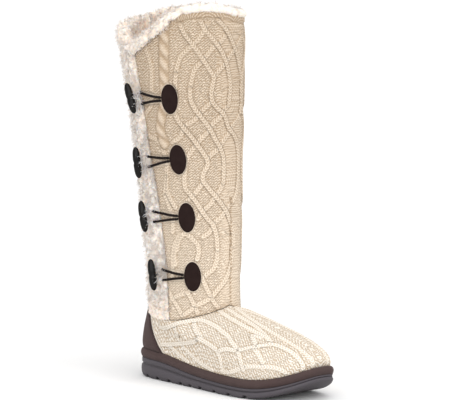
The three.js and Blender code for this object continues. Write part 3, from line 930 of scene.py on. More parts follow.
# Cables of the leg as angle and height, on the side that shows them best
LEG_CABLES: Chart = {
    RibLayer.OVER: (
        (
            (128.5, 398), (132.5, 388), (139, 378), (145, 369), (150.5, 360), (156.5, 350), (161.5, 340),
            (160, 332), (158.5, 322), (160, 314), (165.5, 307), (173.5, 300), (181, 284), (188, 278),
            (194.5, 268), (198, 254), (198, 238), (196.5, 224), (193.5, 212), (186.5, 204),
        ),
        (
            (148, 402), (153, 392), (159.5, 384), (166.5, 375), (172.5, 366), (177, 356), (180.5, 344),
            (182.5, 332), (181.5, 320), (180, 310),
        ),
        (
            (128, 246), (126.5, 237), (125.5, 229), (126, 220), (132, 212), (137.5, 204), (143.5, 195),
            (150, 186), (156, 180), (160.5, 168), (162, 153),
        ),
        (
            (166.5, 403), (175.5, 394), (182.5, 384), (188.5, 374), (194.5, 363), (198.5, 352), (204, 340),
            (206.5, 326), (205, 312), (201.5, 301),
        ),
        (
            (123, 344), (122, 332), (121.5, 316), (119.5, 304), (123, 294), (129, 285), (136, 276),
            (141.5, 268), (147.5, 259), (152, 251), (152, 244), (147.5, 237), (146, 229), (148.5, 225),
            (155.5, 216), (163, 208), (170, 200), (177.5, 190), (184.5, 177), (188.5, 164), (187.5, 153),
        ),
        (
            (136.5, 328), (137, 316), (140, 308), (145.5, 300), (151, 292), (156.5, 284), (163.5, 271),
            (169, 262), (172, 253), (172.5, 240), (171.5, 226),
        ),
        ((122.5, 170), (131, 164), (138, 156), (137.5, 156), (138, 150), (135.5, 141)),
        (
            (186.5, 152), (184.5, 139), (179.5, 127), (172.5, 117), (163, 109), (153, 100), (144, 95),
            (134.5, 91), (126, 85), (117.5, 80),
        ),
        ((98.5, 103), (101, 99), (108, 90), (115, 79)),
        ((140.5, 122), (146, 111), (152, 100), (158.5, 91), (165.5, 85)),
        ((123, 105), (128.5, 95), (132.5, 87), (136, 78)),
    ),
    RibLayer.UNDER: (
        ((186.5, 204), (175.5, 196), (168, 188), (159, 182), (152.5, 172), (143, 166)),
        (
            (180, 310), (173, 304), (168.5, 297), (158, 288), (156.5, 284), (149.5, 277), (143, 270),
            (136.5, 262), (131.5, 255), (128, 246),
        ),
        (
            (201.5, 301), (194.5, 293), (185, 286), (181, 280), (172.5, 271), (165, 262), (155.5, 255),
            (151.5, 250),
        ),
        ((155.5, 399), (151.5, 391), (146, 382), (136.5, 372), (129, 364), (125, 354), (123, 344)),
        (
            (175.5, 385), (167.5, 377), (160.5, 372), (152.5, 362), (147.5, 356), (141.5, 349), (139, 340),
            (136.5, 328),
        ),
        ((171.5, 226), (167, 218), (161.5, 212), (153.5, 202), (144, 194), (138, 186)),
        ((207, 388), (193, 374), (182.5, 364), (174, 354), (166, 346), (161.5, 340)),
        ((158.5, 314), (146, 302), (139.5, 294), (130, 288), (124, 276), (116.5, 270)),
        ((145.5, 225), (138, 216), (132, 210), (126, 204)),
        ((121.5, 170), (114, 162), (111, 152), (107.5, 148), (107, 142), (108.5, 134)),
        ((105, 234), (103.5, 217), (108, 206), (112.5, 198)),
        (
            (161.5, 152), (161, 141), (156, 131), (148.5, 126), (141.5, 121), (133, 113), (124, 105),
            (114, 102), (105, 98), (99.5, 94),
        ),
        ((116, 168), (108.5, 157), (105.5, 145), (104, 132), (103, 120)),
        (
            (94, 372), (97.5, 359), (98.5, 346), (97, 332), (94, 310), (85.5, 301), (80, 291), (81, 281),
            (88, 275), (96, 272), (103, 262), (106, 245), (104, 228), (100, 212),
        ),
        ((100, 212), (105, 198), (108, 184), (107, 170)),
    ),
    RibLayer.ROPE: (
        ((114, 400), (112.5, 372), (111, 338), (110, 318), (105, 298), (102, 284), (106, 268)),
    ),
}
# Two ropes up the back of the leg
BACK_CABLES: Chart = {
    RibLayer.ROPE: (
        ((300, 398), (300, 320), (300, 240), (301, 160), (302, 100)),
        ((332, 396), (332, 320), (332, 240), (331, 160), (330, 100)),
    ),
}
# Angles between which the far end of a lattice cable lies
LATTICE_SPAN = (150.0, 215.0)
# An angle and its turned-over copy add up to the first, and the second carries a copy on round the back
TURN_OVER, CARRY_ON = 410.0, 222.0
LEG_END = 412.0
FEWEST_POINTS = 8
POINTS_PER_PLACE = 12
# Cables of the foot as angle and share of the way up
FOOT_CABLES: Chart = {
    RibLayer.OVER: (
        (
            (59, 0.6), (78, 0.75), (93, 0.85), (110, 0.93), (126, 0.91), (133, 0.83), (134, 0.75),
            (132, 0.69), (130, 0.63), (124, 0.53), (121, 0.42), (120, 0.35), (119, 0.25), (120, 0.17),
        ),
        (
            (52, 0.17), (64, 0.26), (74, 0.35), (88, 0.47), (104, 0.62), (102, 0.51), (103, 0.42),
            (104, 0.38), (104, 0.29), (104, 0.18), (108, 0.09),
        ),
        (
            (106, 0.38), (113, 0.42), (120, 0.41), (133, 0.45), (143, 0.46), (152, 0.46), (157, 0.41),
            (160, 0.34), (162, 0.14), (163, 0.02),
        ),
        ((160, 0.96), (155, 0.8), (154, 0.7), (154, 0.65), (146, 0.58), (138, 0.47)),
    ),
    RibLayer.UNDER: (
        ((122, 0.86), (113, 0.74), (106, 0.62)),
        ((96, 0.83), (82, 0.62), (74, 0.48), (73, 0.38), (74, 0.3), (78, 0.22), (86, 0.12), (96, 0.04)),
        ((57, 0.21), (64, 0.18), (70, 0.1), (76, 0.05)),
        (
            (108, 0.08), (116, 0.16), (121, 0.2), (130, 0.21), (139, 0.19), (144, 0.15), (148, 0.07),
            (150, 0.01),
        ),
        (
            (180, 0.9), (171, 0.72), (168, 0.63), (167, 0.54), (168, 0.46), (170, 0.38), (172, 0.19),
            (173, 0.05),
        ),
        ((137, 0.46), (134, 0.35), (134, 0.26)),
        ((170, 0.97), (165, 0.78), (163, 0.68), (157, 0.57), (152, 0.48)),
    ),
}


@dataclass
class KnitFabric:
    """Relief of the knit: double cables over wavy purl rows."""

    height: float = 1.5
    strand: float = 1.3
    ply: float = 3.4
    rope_half: float = 6.0
    rope_turn: float = 15.0
    # Painted shade: the purl ground's tone, how much lighter the cables' crests are painted, and the reach of
    # the painted shade in the creases beside the cables
    ground: float = 0.56
    crest: float = 0.34
    cable_edge_shade: float = 0.9
    spacing: float = 0.5
    trees: dict[RibLayer, tuple[kdtree.KDTree, Array, Array]] = field(default_factory=dict)

    def lay(self, layer: RibLayer, lines: list[Array]) -> None:
        """Lays the cables of one layer.

        Args:
            layer: how they lie.
            lines: centre lines in millimetres.
        """
        points, along = [], []
        for line in lines:
            length = lengths(line)
            steps = np.arange(0.0, length[-1], self.spacing)
            points.append(np.stack([np.interp(steps, length, line[:, k]) for k in range(3)], -1))
            along.append(steps)
        found = np.concatenate(points)
        tree = kdtree.KDTree(len(found))
        for i, point in enumerate(found):
            tree.insert(point, i)
        tree.balance()
        self.trees[layer] = (tree, found, np.concatenate(along))

    def nearest(self, layer: RibLayer, points: Array) -> tuple[Array, Array, Array]:
        """Distance to the layer's nearest cable, the place along it, and the way from it.

        Args:
            layer: layer of cables.
            points: points of the face in millimetres.

        Returns:
            All three in millimetres. The distance is FAR where the layer has no cable.
        """
        shape = points.shape[:-1]
        if layer not in self.trees:
            return np.full(shape, FAR), np.zeros(shape), np.zeros(points.shape)
        tree, spots, along = self.trees[layer]
        hit = np.array([tree.find(point)[1] for point in points.reshape(-1, 3)]).reshape(shape)
        way = points - spots[hit]
        return np.linalg.norm(way, axis=-1), along[hit], way

    def cable(self, distance: Array) -> Array:
        """Section of a double cable, 0 beside it and 1 on its strands."""
        section = np.clip(1.0 - ((distance - self.strand) / self.strand) ** 2, 0.0, 1.0)
        return np.where(distance < 2 * self.strand, np.sqrt(section), 0.0)

    def rope(self, distance: Array, along: Array, offset: Array) -> Array:
        """Section of the rope cable, twisted round itself.

        Args:
            distance: millimetres from the rope's centre line.
            along: millimetres along the rope.
            offset: millimetres across the rope, with a sign for the side.

        Returns:
            Height over the face, 0 beside the rope and about 1 on its crests.
        """
        section = np.sqrt(np.clip(1.0 - (distance / self.rope_half) ** 2, 0.0, 1.0))
        twist = 0.5 + 0.5 * np.cos(2 * math.pi * (along / self.rope_turn - offset / (2 * self.rope_half)))
        return section * (0.1 + np.sqrt(twist))

    def relief(self, points: Array, across: Array, along: Array, calm: Array) -> tuple[Array, Array, Array]:
        """Height, painted shade and stitches of the knit.

        Args:
            points: plain points of the face.
            across: millimetres across the rows.
            along: millimetres along the rows.
            calm: 0 where something presses the knit flat, 1 elsewhere.

        Returns:
            Height over the face in millimetres, painted shade from 0 to 1, and place in the knit.
        """
        over, over_at, _ = self.nearest(RibLayer.OVER, points)
        under, under_at, _ = self.nearest(RibLayer.UNDER, points)
        rope, rope_at, rope_way = self.nearest(RibLayer.ROPE, points)
        edge = 2 * self.strand
        hidden = 1.0 - ease(edge - 1.6, edge - 0.2, over)
        low = self.cable(under) * (1.0 - hidden)
        offset = np.sum(rope_way * unit(np.gradient(points, axis=1)), axis=-1)
        twisted = self.rope(rope, rope_at, offset)
        cables = np.maximum(np.maximum(self.cable(over), 0.94 * low), 1.1 * twisted)
        beside = np.minimum(np.minimum(over, under) - edge, rope - self.rope_half)
        cover = 1.0 - ease(-0.4, 0.6, beside)
        # Painted shade in the creases beside the over cables, the under cables and the rope
        cable_edge_shade = bell(over - edge - 0.8, self.cable_edge_shade) * ease(-0.6, 0.2, under - edge)
        cable_edge_shade = cable_edge_shade + 0.8 * bell(under - edge - 0.7, self.cable_edge_shade) * (1 - hidden)
        cable_edge_shade = cable_edge_shade + bell(rope - self.rope_half - 0.6, self.cable_edge_shade)
        # Painted shade: the purl ground is painted darker than the cables' crests, and the creases darker
        # still
        shade = mix(self.ground, self.ground - 0.14 + self.crest * cables, cover)
        shade = shade - 0.18 * np.clip(cable_edge_shade, 0, 1.2)
        # Painted shade in the rope's twisted grooves
        in_rope = 1.0 - ease(self.rope_half - 0.6, self.rope_half + 0.4, rope)
        shade = mix(shade, 0.08 + 0.62 * np.clip(twisted, 0.0, 1.0), in_rope)
        on_top = over < edge + 0.4
        turn = np.where(on_top, over_at + 1.1 * over, under_at + 1.1 * under) / self.ply
        turn = np.where(rope < self.rope_half, 0.25, turn)
        plain = (1.0 - cover + 0.35 * in_rope) * calm
        turn = turn * np.where(calm > 0.5, 1.0, 0.0)
        weave = np.stack(np.broadcast_arrays(across, along, turn, plain), -1)
        return self.height * cables * calm, np.clip(mix(0.5, shade, 0.35 + 0.65 * calm), 0.0, 1.0), weave


def chart_course(places: tuple[tuple[float, float], ...]) -> tuple[Array, Array]:
    """Smooth course of one charted cable, as its two columns.

    Args:
        places: charted places of the cable, each with its angle and its height or share.

    Returns:
        Angles, and heights or shares, along the course.
    """
    chart = np.array([(first, second, 0.0) for first, second in places])
    course = curve_through(chart, POINTS_PER_PLACE * len(places))
    return course[:, 0], course[:, 1]


def leg_lines() -> dict[RibLayer, list[Array]]:
    """Cables laid on the leg's face, the lattice also turned over and carried on round the hidden sides.

    Returns:
        Centre lines in millimetres, by layer.
    """
    lines: dict[RibLayer, list[Array]] = {layer: [] for layer in RibLayer}
    for chart in (LEG_CABLES, BACK_CABLES):
        for layer, cables in chart.items():
            for angle, z in map(chart_course, cables):
                lattice = LATTICE_SPAN[0] < angle.max() < LATTICE_SPAN[1]
                for turned in (angle, TURN_OVER - angle, angle + CARRY_ON) if lattice else (angle,):
                    kept = turned < LEG_END
                    if kept.sum() > FEWEST_POINTS:
                        lines[layer].append(FORM.leg(turned[kept], z[kept]))
    return lines


@dataclass
class KnitShaft:
    """Knitted leg, from the slit's front edge round the shin to its back edge, and its fleece lining."""

    wardrobe: Wardrobe
    # Millimetres to a degree along the rows, and where each angle lies along them
    row_scale: float = 1.05
    row_angles: tuple[float, ...] = (0.0, 165.0, 175.0, 200.0, 210.0, 420.0)
    row_places: tuple[float, ...] = (0.0, 165.0, 168.0, 169.0, 172.0, 382.0)
    panels: tuple[tuple[str, float, float], ...] = (
        ("shaft_outer", 0.0, 0.34), ("shaft_inner", 0.34, 0.67), ("shaft_back", 0.67, 1.0),
    )
    columns: int = 136
    rows: int = 432
    step: int = 8
    width: float = 325.0
    hem: float = 7.5
    seam_angle: float = 183.0
    seam_top: float = 214.0
    seam_width: float = 1.7
    seam_stitch: float = 5.2
    chevron_row: float = 3.4
    chevron_pitch: float = 3.2
    lining_grid: tuple[int, int] = (120, 90)
    lining_top: float = 366.0
    fleece_gap: float = 0.2
    fleece: float = 1.3
    fabric: KnitFabric = field(default_factory=KnitFabric)

    def calm(self, angle: Array, z: Array) -> Array:
        """How far patches and loops press the knit flat: 0 under a patch, 0.4 under a loop, 1 elsewhere.

        Args:
            angle: angles round the leg in degrees.
            z: heights in millimetres.

        Returns:
            Share of the relief that is left.
        """
        calm = np.ones_like(z)
        for place in FASTENINGS:
            scale = FORM.per_degree(place.patch, place.z)
            off = (angle - place.patch) * scale
            oval = np.hypot(off / (PATCH_WIDTH / 2), (z - place.z) / (PATCH_HEIGHT / 2))
            calm = np.minimum(calm, ease(1.0, 1.2, oval))
            share = np.clip((place.patch - angle) / (place.patch - place.toggle), 0.0, 1.0)
            middle, spread = place.z - place.drop * share, 1.5 + 6.0 * share
            beside = np.abs(np.abs(z - middle) - spread)
            loop = np.where((angle < place.patch) & (angle > place.toggle), beside, FAR)
            calm = np.minimum(calm, 0.4 + 0.6 * ease(1.5, 3.5, loop))
        return calm

    def row_place(self, angle: Array) -> Array:
        """Millimetres along the purl rows, which wave at the sides and run straight over the shin."""
        return self.row_scale * np.interp(angle, self.row_angles, self.row_places)

    def edges(self, round_share: Array, z: Array) -> tuple[Array, Array]:
        """Distance to the free edges of the leg, and to its collar edge, in millimetres.

        Args:
            round_share: 0 at the slit's front edge and 1 at its back edge.
            z: heights in millimetres.

        Returns:
            The two distances.
        """
        side = np.minimum(round_share, 1.0 - round_share) * self.width
        below = FORM.collar_z(round_share) - z
        above = z - FORM.seam_z(mix(FORM.slit[0][1], 360.0 + FORM.slit[0][2], round_share))
        return np.minimum(np.minimum(side, below), above), below

    def panel(self, name: str, start: float, end: float) -> bpy.types.Object:
        """One panel of the leg.

        Args:
            name: name of the piece.
            start: share of the way round where it starts.
            end: share where it ends.

        Returns:
            The dressed piece.
        """
        share = np.linspace(start, end, self.columns + 1)
        up = np.linspace(0.0, 1.0, self.rows + 1)
        around, rise = np.meshgrid(share, up)
        angle, z = FORM.shaft_place(around, rise)
        plain = FORM.leg(angle, z)
        along = self.row_scale * angle
        straight = ease(163.0, 175.0, angle) * (1.0 - ease(200.0, 212.0, angle))
        calm = self.calm(angle, z)
        height, shade, weave = self.fabric.relief(plain, z, self.row_place(angle), calm)
        weave[..., 3] *= 1.0 - 0.5 * straight
        rim, below = self.edges(around, z)
        hem = (1.0 - ease(self.hem - 0.8, self.hem + 0.4, below)) * ease(0.1, 0.17, around)
        weave[..., 3] *= 1.0 - hem
        slant = np.abs((below % self.chevron_row) - self.chevron_row / 2)
        chevron = np.cos(2 * math.pi * (along + 1.1 * slant) / self.chevron_pitch)
        height = mix(height, 0.3 + 0.4 * chevron, hem)
        # The hem band is darker than the knit, with painted shade in the hollows of its chevron stitches
        shade = mix(shade, 0.34 + 0.4 * chevron, hem)
        # Painted shade darkens the crease along the hem's lower edge
        line = bell(below - self.hem, 0.8) * ease(0.1, 0.17, around)
        height, shade = height - 0.9 * line, shade - 0.35 * line
        off = np.abs(angle - self.seam_angle) * 0.95
        stitch = ease(0.0, 0.6, np.cos(2 * math.pi * z / self.seam_stitch))
        groove = bell(off, self.seam_width) * (1.0 - ease(self.seam_top - 8, self.seam_top, z))
        height, shade = height - 0.8 * groove, shade - (0.25 + 0.75 * stitch) * groove
        weave[..., 3] *= 1.0 - groove
        height = mix(0.0, height, ease(0.0, 2.6, rim))
        # Painted light: the leg is lighter low down and darker towards the collar; painted shade darkens it
        # along its free edges and the ankle seam
        shade = (shade + 0.07 - 0.34 * ease(70.0, 350.0, z)) * mix(0.5, 1.0, ease(0.0, 4.0, rim))
        outer = plain + grid_normals(plain) * height[..., None]
        inner = FORM.leg(angle[:: self.step, :: self.step], z[:: self.step, :: self.step], -FORM.knit_wall)
        parts, sharp = open_wall(outer, inner, np.clip(shade, 0.0, 1.0), weave)
        return parts.build(name, self.wardrobe.get(KNIT_LEG), sharp)

    def lining(self) -> bpy.types.Object:
        """Fleece on the inside of the leg, all the way round.

        Returns:
            The new piece.
        """
        rng = np.random.default_rng(SEED)
        turn = np.linspace(0.0, 360.0, self.lining_grid[0], endpoint=False)
        heights = np.linspace(0.0, 1.0, self.lining_grid[1])
        angle, rise = np.meshgrid(turn, heights)
        z = mix(FORM.seam_z(angle) - 3.0, self.lining_top, rise)
        nub = 0.5 * rng.random(angle.shape)
        inner = FORM.leg(angle, z, -FORM.knit_wall - self.fleece - nub)
        outer = FORM.leg(angle, z, -FORM.knit_wall - self.fleece_gap)
        rows, columns = angle.shape
        parts = MeshParts()
        parts.add(outer, [grid_faces(rows, columns, closed=True)])
        # Painted shade: the fleece is lighter where its nubs stand further out
        first = parts.add(inner, [grid_faces(rows, columns, closed=True, flip=True)], 0.5 + nub)
        ring = np.arange(columns)
        after = (ring + 1) % columns
        top, last = (rows - 1) * columns, first + (rows - 1) * columns
        parts.faces.append(np.stack([after, ring, ring + first, after + first], -1))
        parts.faces.append(np.stack([ring + top, after + top, after + last, ring + last], -1))
        return parts.build("leg_lining", self.wardrobe.get(FLEECE))

    def build(self) -> None:
        """Builds and dresses the leg."""
        for layer, lines in leg_lines().items():
            self.fabric.lay(layer, lines)
        for name, start, end in self.panels:
            dress(self.panel(name, start, end), "knit", "shaft")
        dress(self.lining(), "fleece")


@dataclass
class KnitFoot:
    """Knitted foot between the sole and the ankle seam, with the suede counter over its heel."""

    wardrobe: Wardrobe
    columns: int = 816
    rows: int = 88
    step: int = 8
    bunch: float = 0.35
    counter_edge: Table = ((0, 53), (0.25, 46), (0.5, 40.5), (0.75, 39.5), (1, 41))
    counter_span: tuple[float, float] = (0.004, 0.965)
    counter_gap: float = 0.7
    counter_grid: tuple[int, int] = (57, 65)
    counter_roll: float = 0.045
    toe_cap: float = 245.0
    ridge_points: int = 200
    side_height: float = 75.0
    suede: float = 1.6
    fabric: KnitFabric = field(default_factory=lambda: KnitFabric(height=1.1, crest=0.46))

    def lay_cables(self) -> None:
        """Lays the cables on the outer side of the foot and, turned over, on its inner side."""
        lines: dict[RibLayer, list[Array]] = {layer: [] for layer in RibLayer}
        for layer, cables in FOOT_CABLES.items():
            for angle, share in map(chart_course, cables):
                for side in (angle, 360.0 - angle):
                    lines[layer].append(FORM.upper(np.clip(share, 0.0, 1.0), side))
        for layer in (RibLayer.OVER, RibLayer.UNDER):
            self.fabric.lay(layer, lines[layer])

    def knit(self) -> bpy.types.Object:
        """The knitted shell, open at the ankle and underneath.

        Returns:
            The new piece.
        """
        turn = np.linspace(0.0, 1.0, self.columns, endpoint=False)
        turn = turn + self.bunch * np.sin(4 * math.pi * turn) / (4 * math.pi)
        angle, share = np.meshgrid(360.0 * turn, np.linspace(0.0, 1.0, self.rows + 1))
        plain = FORM.upper(share, angle)
        edge = read(self.counter_edge, 1, share)
        away = np.minimum(angle, 360.0 - angle)
        calm = ease(-1.0, 5.0, away - edge)
        x, y, z = np.moveaxis(plain, -1, 0)
        ridge = FORM.upper(np.linspace(1.0, 0.0, self.ridge_points), 180.0)
        ridge = ridge[np.argsort(ridge[:, 0])]
        drop = np.interp(np.minimum(x, self.toe_cap), ridge[:, 0], ridge[:, 2]) - z
        course = 0.76 * (np.hypot(y - read(FORM.sole_plan, 2, x), 2.0) + drop)
        wale = 0.72 * x - 0.42 * z
        height, shade, weave = self.fabric.relief(plain, course, wale, calm)
        rim = np.minimum(share, 1.0 - share) * self.side_height
        height = mix(-0.1, height, ease(0.0, 2.4, rim))
        # Painted shade darkens the knit along the sole's edge and the ankle seam
        shade = shade * mix(0.7, 1.0, ease(0.0, 3.0, rim))
        outer = plain + grid_normals(plain, closed=True) * height[..., None]
        low, wide = share[:: self.step, :: self.step], angle[:: self.step, :: self.step]
        inner = FORM.upper_offset(low, wide, np.full(low.shape, -FORM.knit_wall))
        inner[..., 2] = np.minimum(inner[..., 2], plain[:: self.step, :: self.step, 2])
        inner[-1] = FORM.leg(wide[-1], FORM.seam_z(wide[-1]), -FORM.knit_wall) - [0.0, 0.0, 2 * FORM.gap]
        inner[0, :, 2] = plain[0, :: self.step, 2]
        parts = MeshParts()
        rows, columns = outer.shape[:2]
        parts.add(outer, [grid_faces(rows, columns, closed=True)], np.clip(shade, 0, 1), weave)
        first = parts.add(inner, [grid_faces(*inner.shape[:2], closed=True, flip=True)], 0.5)
        fine = np.arange(rows * columns).reshape(rows, columns)
        coarse = np.arange(inner[..., 0].size).reshape(inner.shape[:2]) + first
        looped = [np.append(row, row[0]) for row in (fine[0], coarse[0], fine[-1], coarse[-1])]
        parts.faces.append(hem_faces(looped[0], looped[1], True))
        parts.faces.append(hem_faces(looped[2], looped[3], False))
        sharp = np.concatenate([pairs_along(looped[0]), pairs_along(looped[2])])
        return parts.build("foot_knit", self.wardrobe.get(KNIT_FOOT), sharp)

    def counter(self) -> bpy.types.Object:
        """Suede skin over the heel, its edges rolled.

        Returns:
            The new piece.
        """
        low, high = self.counter_span
        rows, columns = self.counter_grid
        heights, widths = np.linspace(low, high, rows), np.linspace(-1.0, 1.0, columns)
        share, across = np.meshgrid(heights, widths, indexing="ij")
        angle = across * read(self.counter_edge, 1, share)
        brim = np.minimum(1.0 - np.abs(across), np.minimum(share - low, high - share))
        roll = np.sqrt(ease(0.0, self.counter_roll, brim))
        outer = FORM.upper_offset(share, angle, self.counter_gap + self.suede * (0.3 + 0.7 * roll))
        low_share, low_angle = share[:: self.step, :: self.step], angle[:: self.step, :: self.step]
        inner = FORM.upper_offset(low_share, low_angle, np.full(low_share.shape, self.counter_gap))
        parts, sharp = open_wall(outer, inner, 0.1 + 0.5 * roll)
        return parts.build("heel_suede", self.wardrobe.get(SUEDE), sharp)

    def build(self) -> None:
        """Builds and dresses the foot."""
        self.lay_cables()
        dress(self.knit(), "knit", "upper")
        dress(self.counter(), "suede", "heel_counter")


# Fur


@dataclass(frozen=True)
class CurlStyle:
    """Shape of one kind of curl: points along it, and the rest as shares of its length."""

    steps: int
    thick: float
    bend: float
    turns: float
    stand: float
    lie: float


LOCK = CurlStyle(6, 0.045, 0.22, 1.2, 0.4, 0.6)
HAIR = CurlStyle(4, 0.03, 0.13, 0.7, 0.6, 0.4)


def tufts(points: Array, count: int, radius: float, rng: np.random.Generator) -> Array:
    """Rounded tufts over a face.

    Args:
        points: grid of points of the face.
        count: how many tufts.
        radius: reach of one tuft in millimetres.
        rng: seeded source of chance.

    Returns:
        1 on the crown of each tuft, falling to 0 between them.
    """
    flat = points.reshape(-1, 3)
    tree = kdtree.KDTree(count)
    for i, crown in enumerate(flat[rng.choice(len(flat), count, replace=False)]):
        tree.insert(crown, i)
    tree.balance()
    away = np.array([tree.find(point)[2] for point in flat]).reshape(points.shape[:-1])
    return np.clip(1.0 - (away / radius) ** 2, 0.0, 1.0)


@dataclass
class Fur:
    """Curly fur that fills the slit and rolls over the collar."""

    wardrobe: Wardrobe
    sides: int = 3
    slit_curls: tuple[tuple[CurlStyle, int, float], ...] = ((LOCK, 1800, 8.0), (HAIR, 2800, 9.0))
    collar_curls: tuple[tuple[CurlStyle, int, float], ...] = ((LOCK, 2000, 8.0), (HAIR, 2800, 9.0))
    leg_part: float = 0.87
    fullness: float = 6.5
    full_at: float = 0.78
    roll_points: int = 61
    collar_points: int = 400
    slit_grid: tuple[int, int] = (49, 329)
    slit_reach: tuple[float, float] = (0.012, 0.988)
    step: int = 8
    # Large and small tufts: how many, their reach and their height
    slit_tufts: tuple[tuple[int, float, float], ...] = ((420, 4.6, 2.4), (2300, 2.2, 1.1))
    collar_tufts: tuple[tuple[int, float, float], ...] = ((720, 4.8, 3.0), (3600, 2.3, 1.3))
    tuft_sink: float = 1.2
    slit_droop: float = 0.8
    collar_droop: float = 0.6
    root_depth: float = 0.6
    # Where the slit's pile is tucked in, where painted light lifts its lower part, and where it stops
    # spilling, as heights
    tuck_span: tuple[float, float] = (110.0, 170.0)
    painted_light_span: tuple[float, float] = (170.0, 320.0)
    spill_span: tuple[float, float] = (280.0, 330.0)
    # Section of the collar's roll as distance outwards and height, over the hem and over the scoop
    hem_roll: Table = (
        (-3.6, -34.0), (-3.6, 0.6), (-1.4, 1.0), (-0.3, 2.4), (-2.0, 4.8), (-6.0, 5.4), (-10.0, 3.0),
        (-9.4, -12.0), (-8.0, -34.0),
    )
    scoop_roll: Table = (
        (-3.6, -34.0), (-3.6, 1.2), (1.6, 0.8), (3.0, -4.0), (5.0, -1.0), (2.0, 4.5), (-6.0, 5.0),
        (-10.5, -12.0), (-8.0, -34.0),
    )

    def curls(
        self,
        parts: MeshParts,
        style: CurlStyle,
        root: Array,
        out: Array,
        fall: Array,
        size: Array,
        rng: np.random.Generator,
    ) -> None:
        """Adds curls to a piece.

        Args:
            parts: piece that the curls join.
            style: their shape.
            root: where each curl starts.
            out: direction in which each stands off the skin.
            fall: direction in which each lies.
            size: length of each.
            rng: seeded source of chance.
        """
        count, steps, sides = len(root), style.steps, self.sides
        out, side = unit(out), unit(np.cross(out, fall))
        fall = np.cross(side, out)
        t = np.linspace(0.0, 1.0, steps)[None, :, None]
        start = rng.uniform(0.0, 2 * math.pi, (count, 1, 1))
        turns = style.turns * rng.uniform(0.6, 1.1, (count, 1, 1)) * rng.choice((-1, 1), (count, 1, 1))
        phase = start + 2 * math.pi * turns * t
        length = size[:, None, None]
        bend = style.bend * length * (0.35 + 0.65 * t)
        path = root[:, None] + out[:, None] * length * style.stand * (1.5 * t - 0.5 * t * t)
        path = path + fall[:, None] * length * style.lie * t
        path = path + bend * (np.cos(phase) * side[:, None] + np.sin(phase) * fall[:, None])
        path = path + 0.5 * bend * np.sin(phase) * out[:, None]
        way = unit(np.gradient(path, axis=1))
        across = unit(np.cross(way, out[:, None] + 0.01))
        up = np.cross(way, across)
        thick = style.thick * length * np.sin(math.pi * (0.16 + 0.78 * t)) ** 0.7
        turn = full_turn(sides)
        ring = np.cos(turn)[None, None, :, None] * across[:, :, None]
        ring = ring + np.sin(turn)[None, None, :, None] * up[:, :, None]
        body = (path[:, :, None] + ring * thick[..., None]).reshape(count, -1, 3)
        points = np.concatenate([body, path[:, :1], path[:, -1:] + 0.2 * thick[:, -1:] * way[:, -1:]], axis=1)
        each = points.shape[1]
        k = np.arange(sides)
        n = (k + 1) % sides
        low = np.stack([np.full(sides, each - 2), n, k], -1)
        high = np.stack([np.full(sides, each - 1), k + (steps - 1) * sides, n + (steps - 1) * sides], -1)
        shift = (np.arange(count) * each)[:, None, None]
        quads = (grid_faces(steps, sides, closed=True)[None] + shift).reshape(-1, 4)
        tips = (np.concatenate([low, high])[None] + shift).reshape(-1, 3)
        # Painted shade: each curl is darker at its root and lighter towards its tip; each curl's tone also
        # differs at random
        shade = 0.6 + 0.4 * np.repeat(t, sides, axis=2).ravel()
        tone = np.tile(np.concatenate([shade, [0.6, 1.0]]), (count, 1))
        tone = np.clip(tone * rng.uniform(0.85, 1.1, (count, 1)), 0.0, 1.0)
        parts.add(points, [quads, tips], tone)

    def coat(
        self,
        parts: MeshParts,
        kinds: tuple[tuple[CurlStyle, int, float], ...],
        face: Array,
        room: Array,
        crowd: Array,
        lean: Array,
        rng: np.random.Generator,
        closed: bool = False,
    ) -> None:
        """Roots curls and loose hairs all over a face.

        Args:
            parts: piece that they join.
            kinds: style, number and length of each kind.
            face: grid of points of the face.
            room: how long they may grow at each point, from 0 for none to 1.
            crowd: how thickly they stand at each point.
            lean: direction in which they lie at each point.
            rng: seeded source of chance.
            closed: whether the face joins itself all round.
        """
        normals = grid_normals(face, closed).reshape(-1, 3)
        share = (room * crowd).ravel() / (room * crowd).sum()
        for style, count, longest in kinds:
            pick = rng.choice(len(share), count, p=share)
            root = face.reshape(-1, 3)[pick] - self.root_depth * normals[pick]
            out = normals[pick] + rng.normal(0.0, 0.3, root.shape)
            fall = lean.reshape(-1, 3)[pick] + rng.normal(0.0, 0.6, root.shape)
            size = longest * rng.uniform(0.6, 1.0, count) * room.ravel()[pick]
            self.curls(parts, style, root, out, fall, size, rng)

    def pressed(self, angle: Array, z: Array) -> Array:
        """How far the pile is pressed: 1 under a loop's legs, 0.6 under a toggle, 0 away from them.

        Args:
            angle: angles round the leg in degrees.
            z: heights in millimetres.

        Returns:
            One value from 0 to 1 for each place.
        """
        found = np.zeros_like(z)
        for place in FASTENINGS:
            level = np.abs(z - place.z + place.drop)
            bar = 1 - ease(TOGGLE_LENGTH / 2 - 2, TOGGLE_LENGTH / 2 + 3, level)
            bar = 0.6 * bar * (1 - ease(3.5, 6.0, np.abs(angle - place.toggle + 3.0)))
            legs = (1 - ease(2.0, 4.5, np.abs(level - 6.0))) * ease(8.0, 11.0, angle - place.toggle)
            found = np.maximum(found, np.maximum(bar, legs))
        return found

    def nest(self, angle: Array, z: Array) -> Array:
        """1 where the fur closes over a toggle's stem and the end of its loop, falling to 0 round it.

        Args:
            angle: angles round the leg in degrees.
            z: heights in millimetres.

        Returns:
            One value from 0 to 1 for each place.
        """
        found = np.zeros_like(z)
        for place in FASTENINGS:
            level = np.abs(z - place.z + place.drop)
            beside = ease(-1.0, 2.0, angle - place.toggle) * (1 - ease(5.0, 8.0, angle - place.toggle))
            found = np.maximum(found, beside * (1 - ease(8.0, 12.0, level)))
        return found

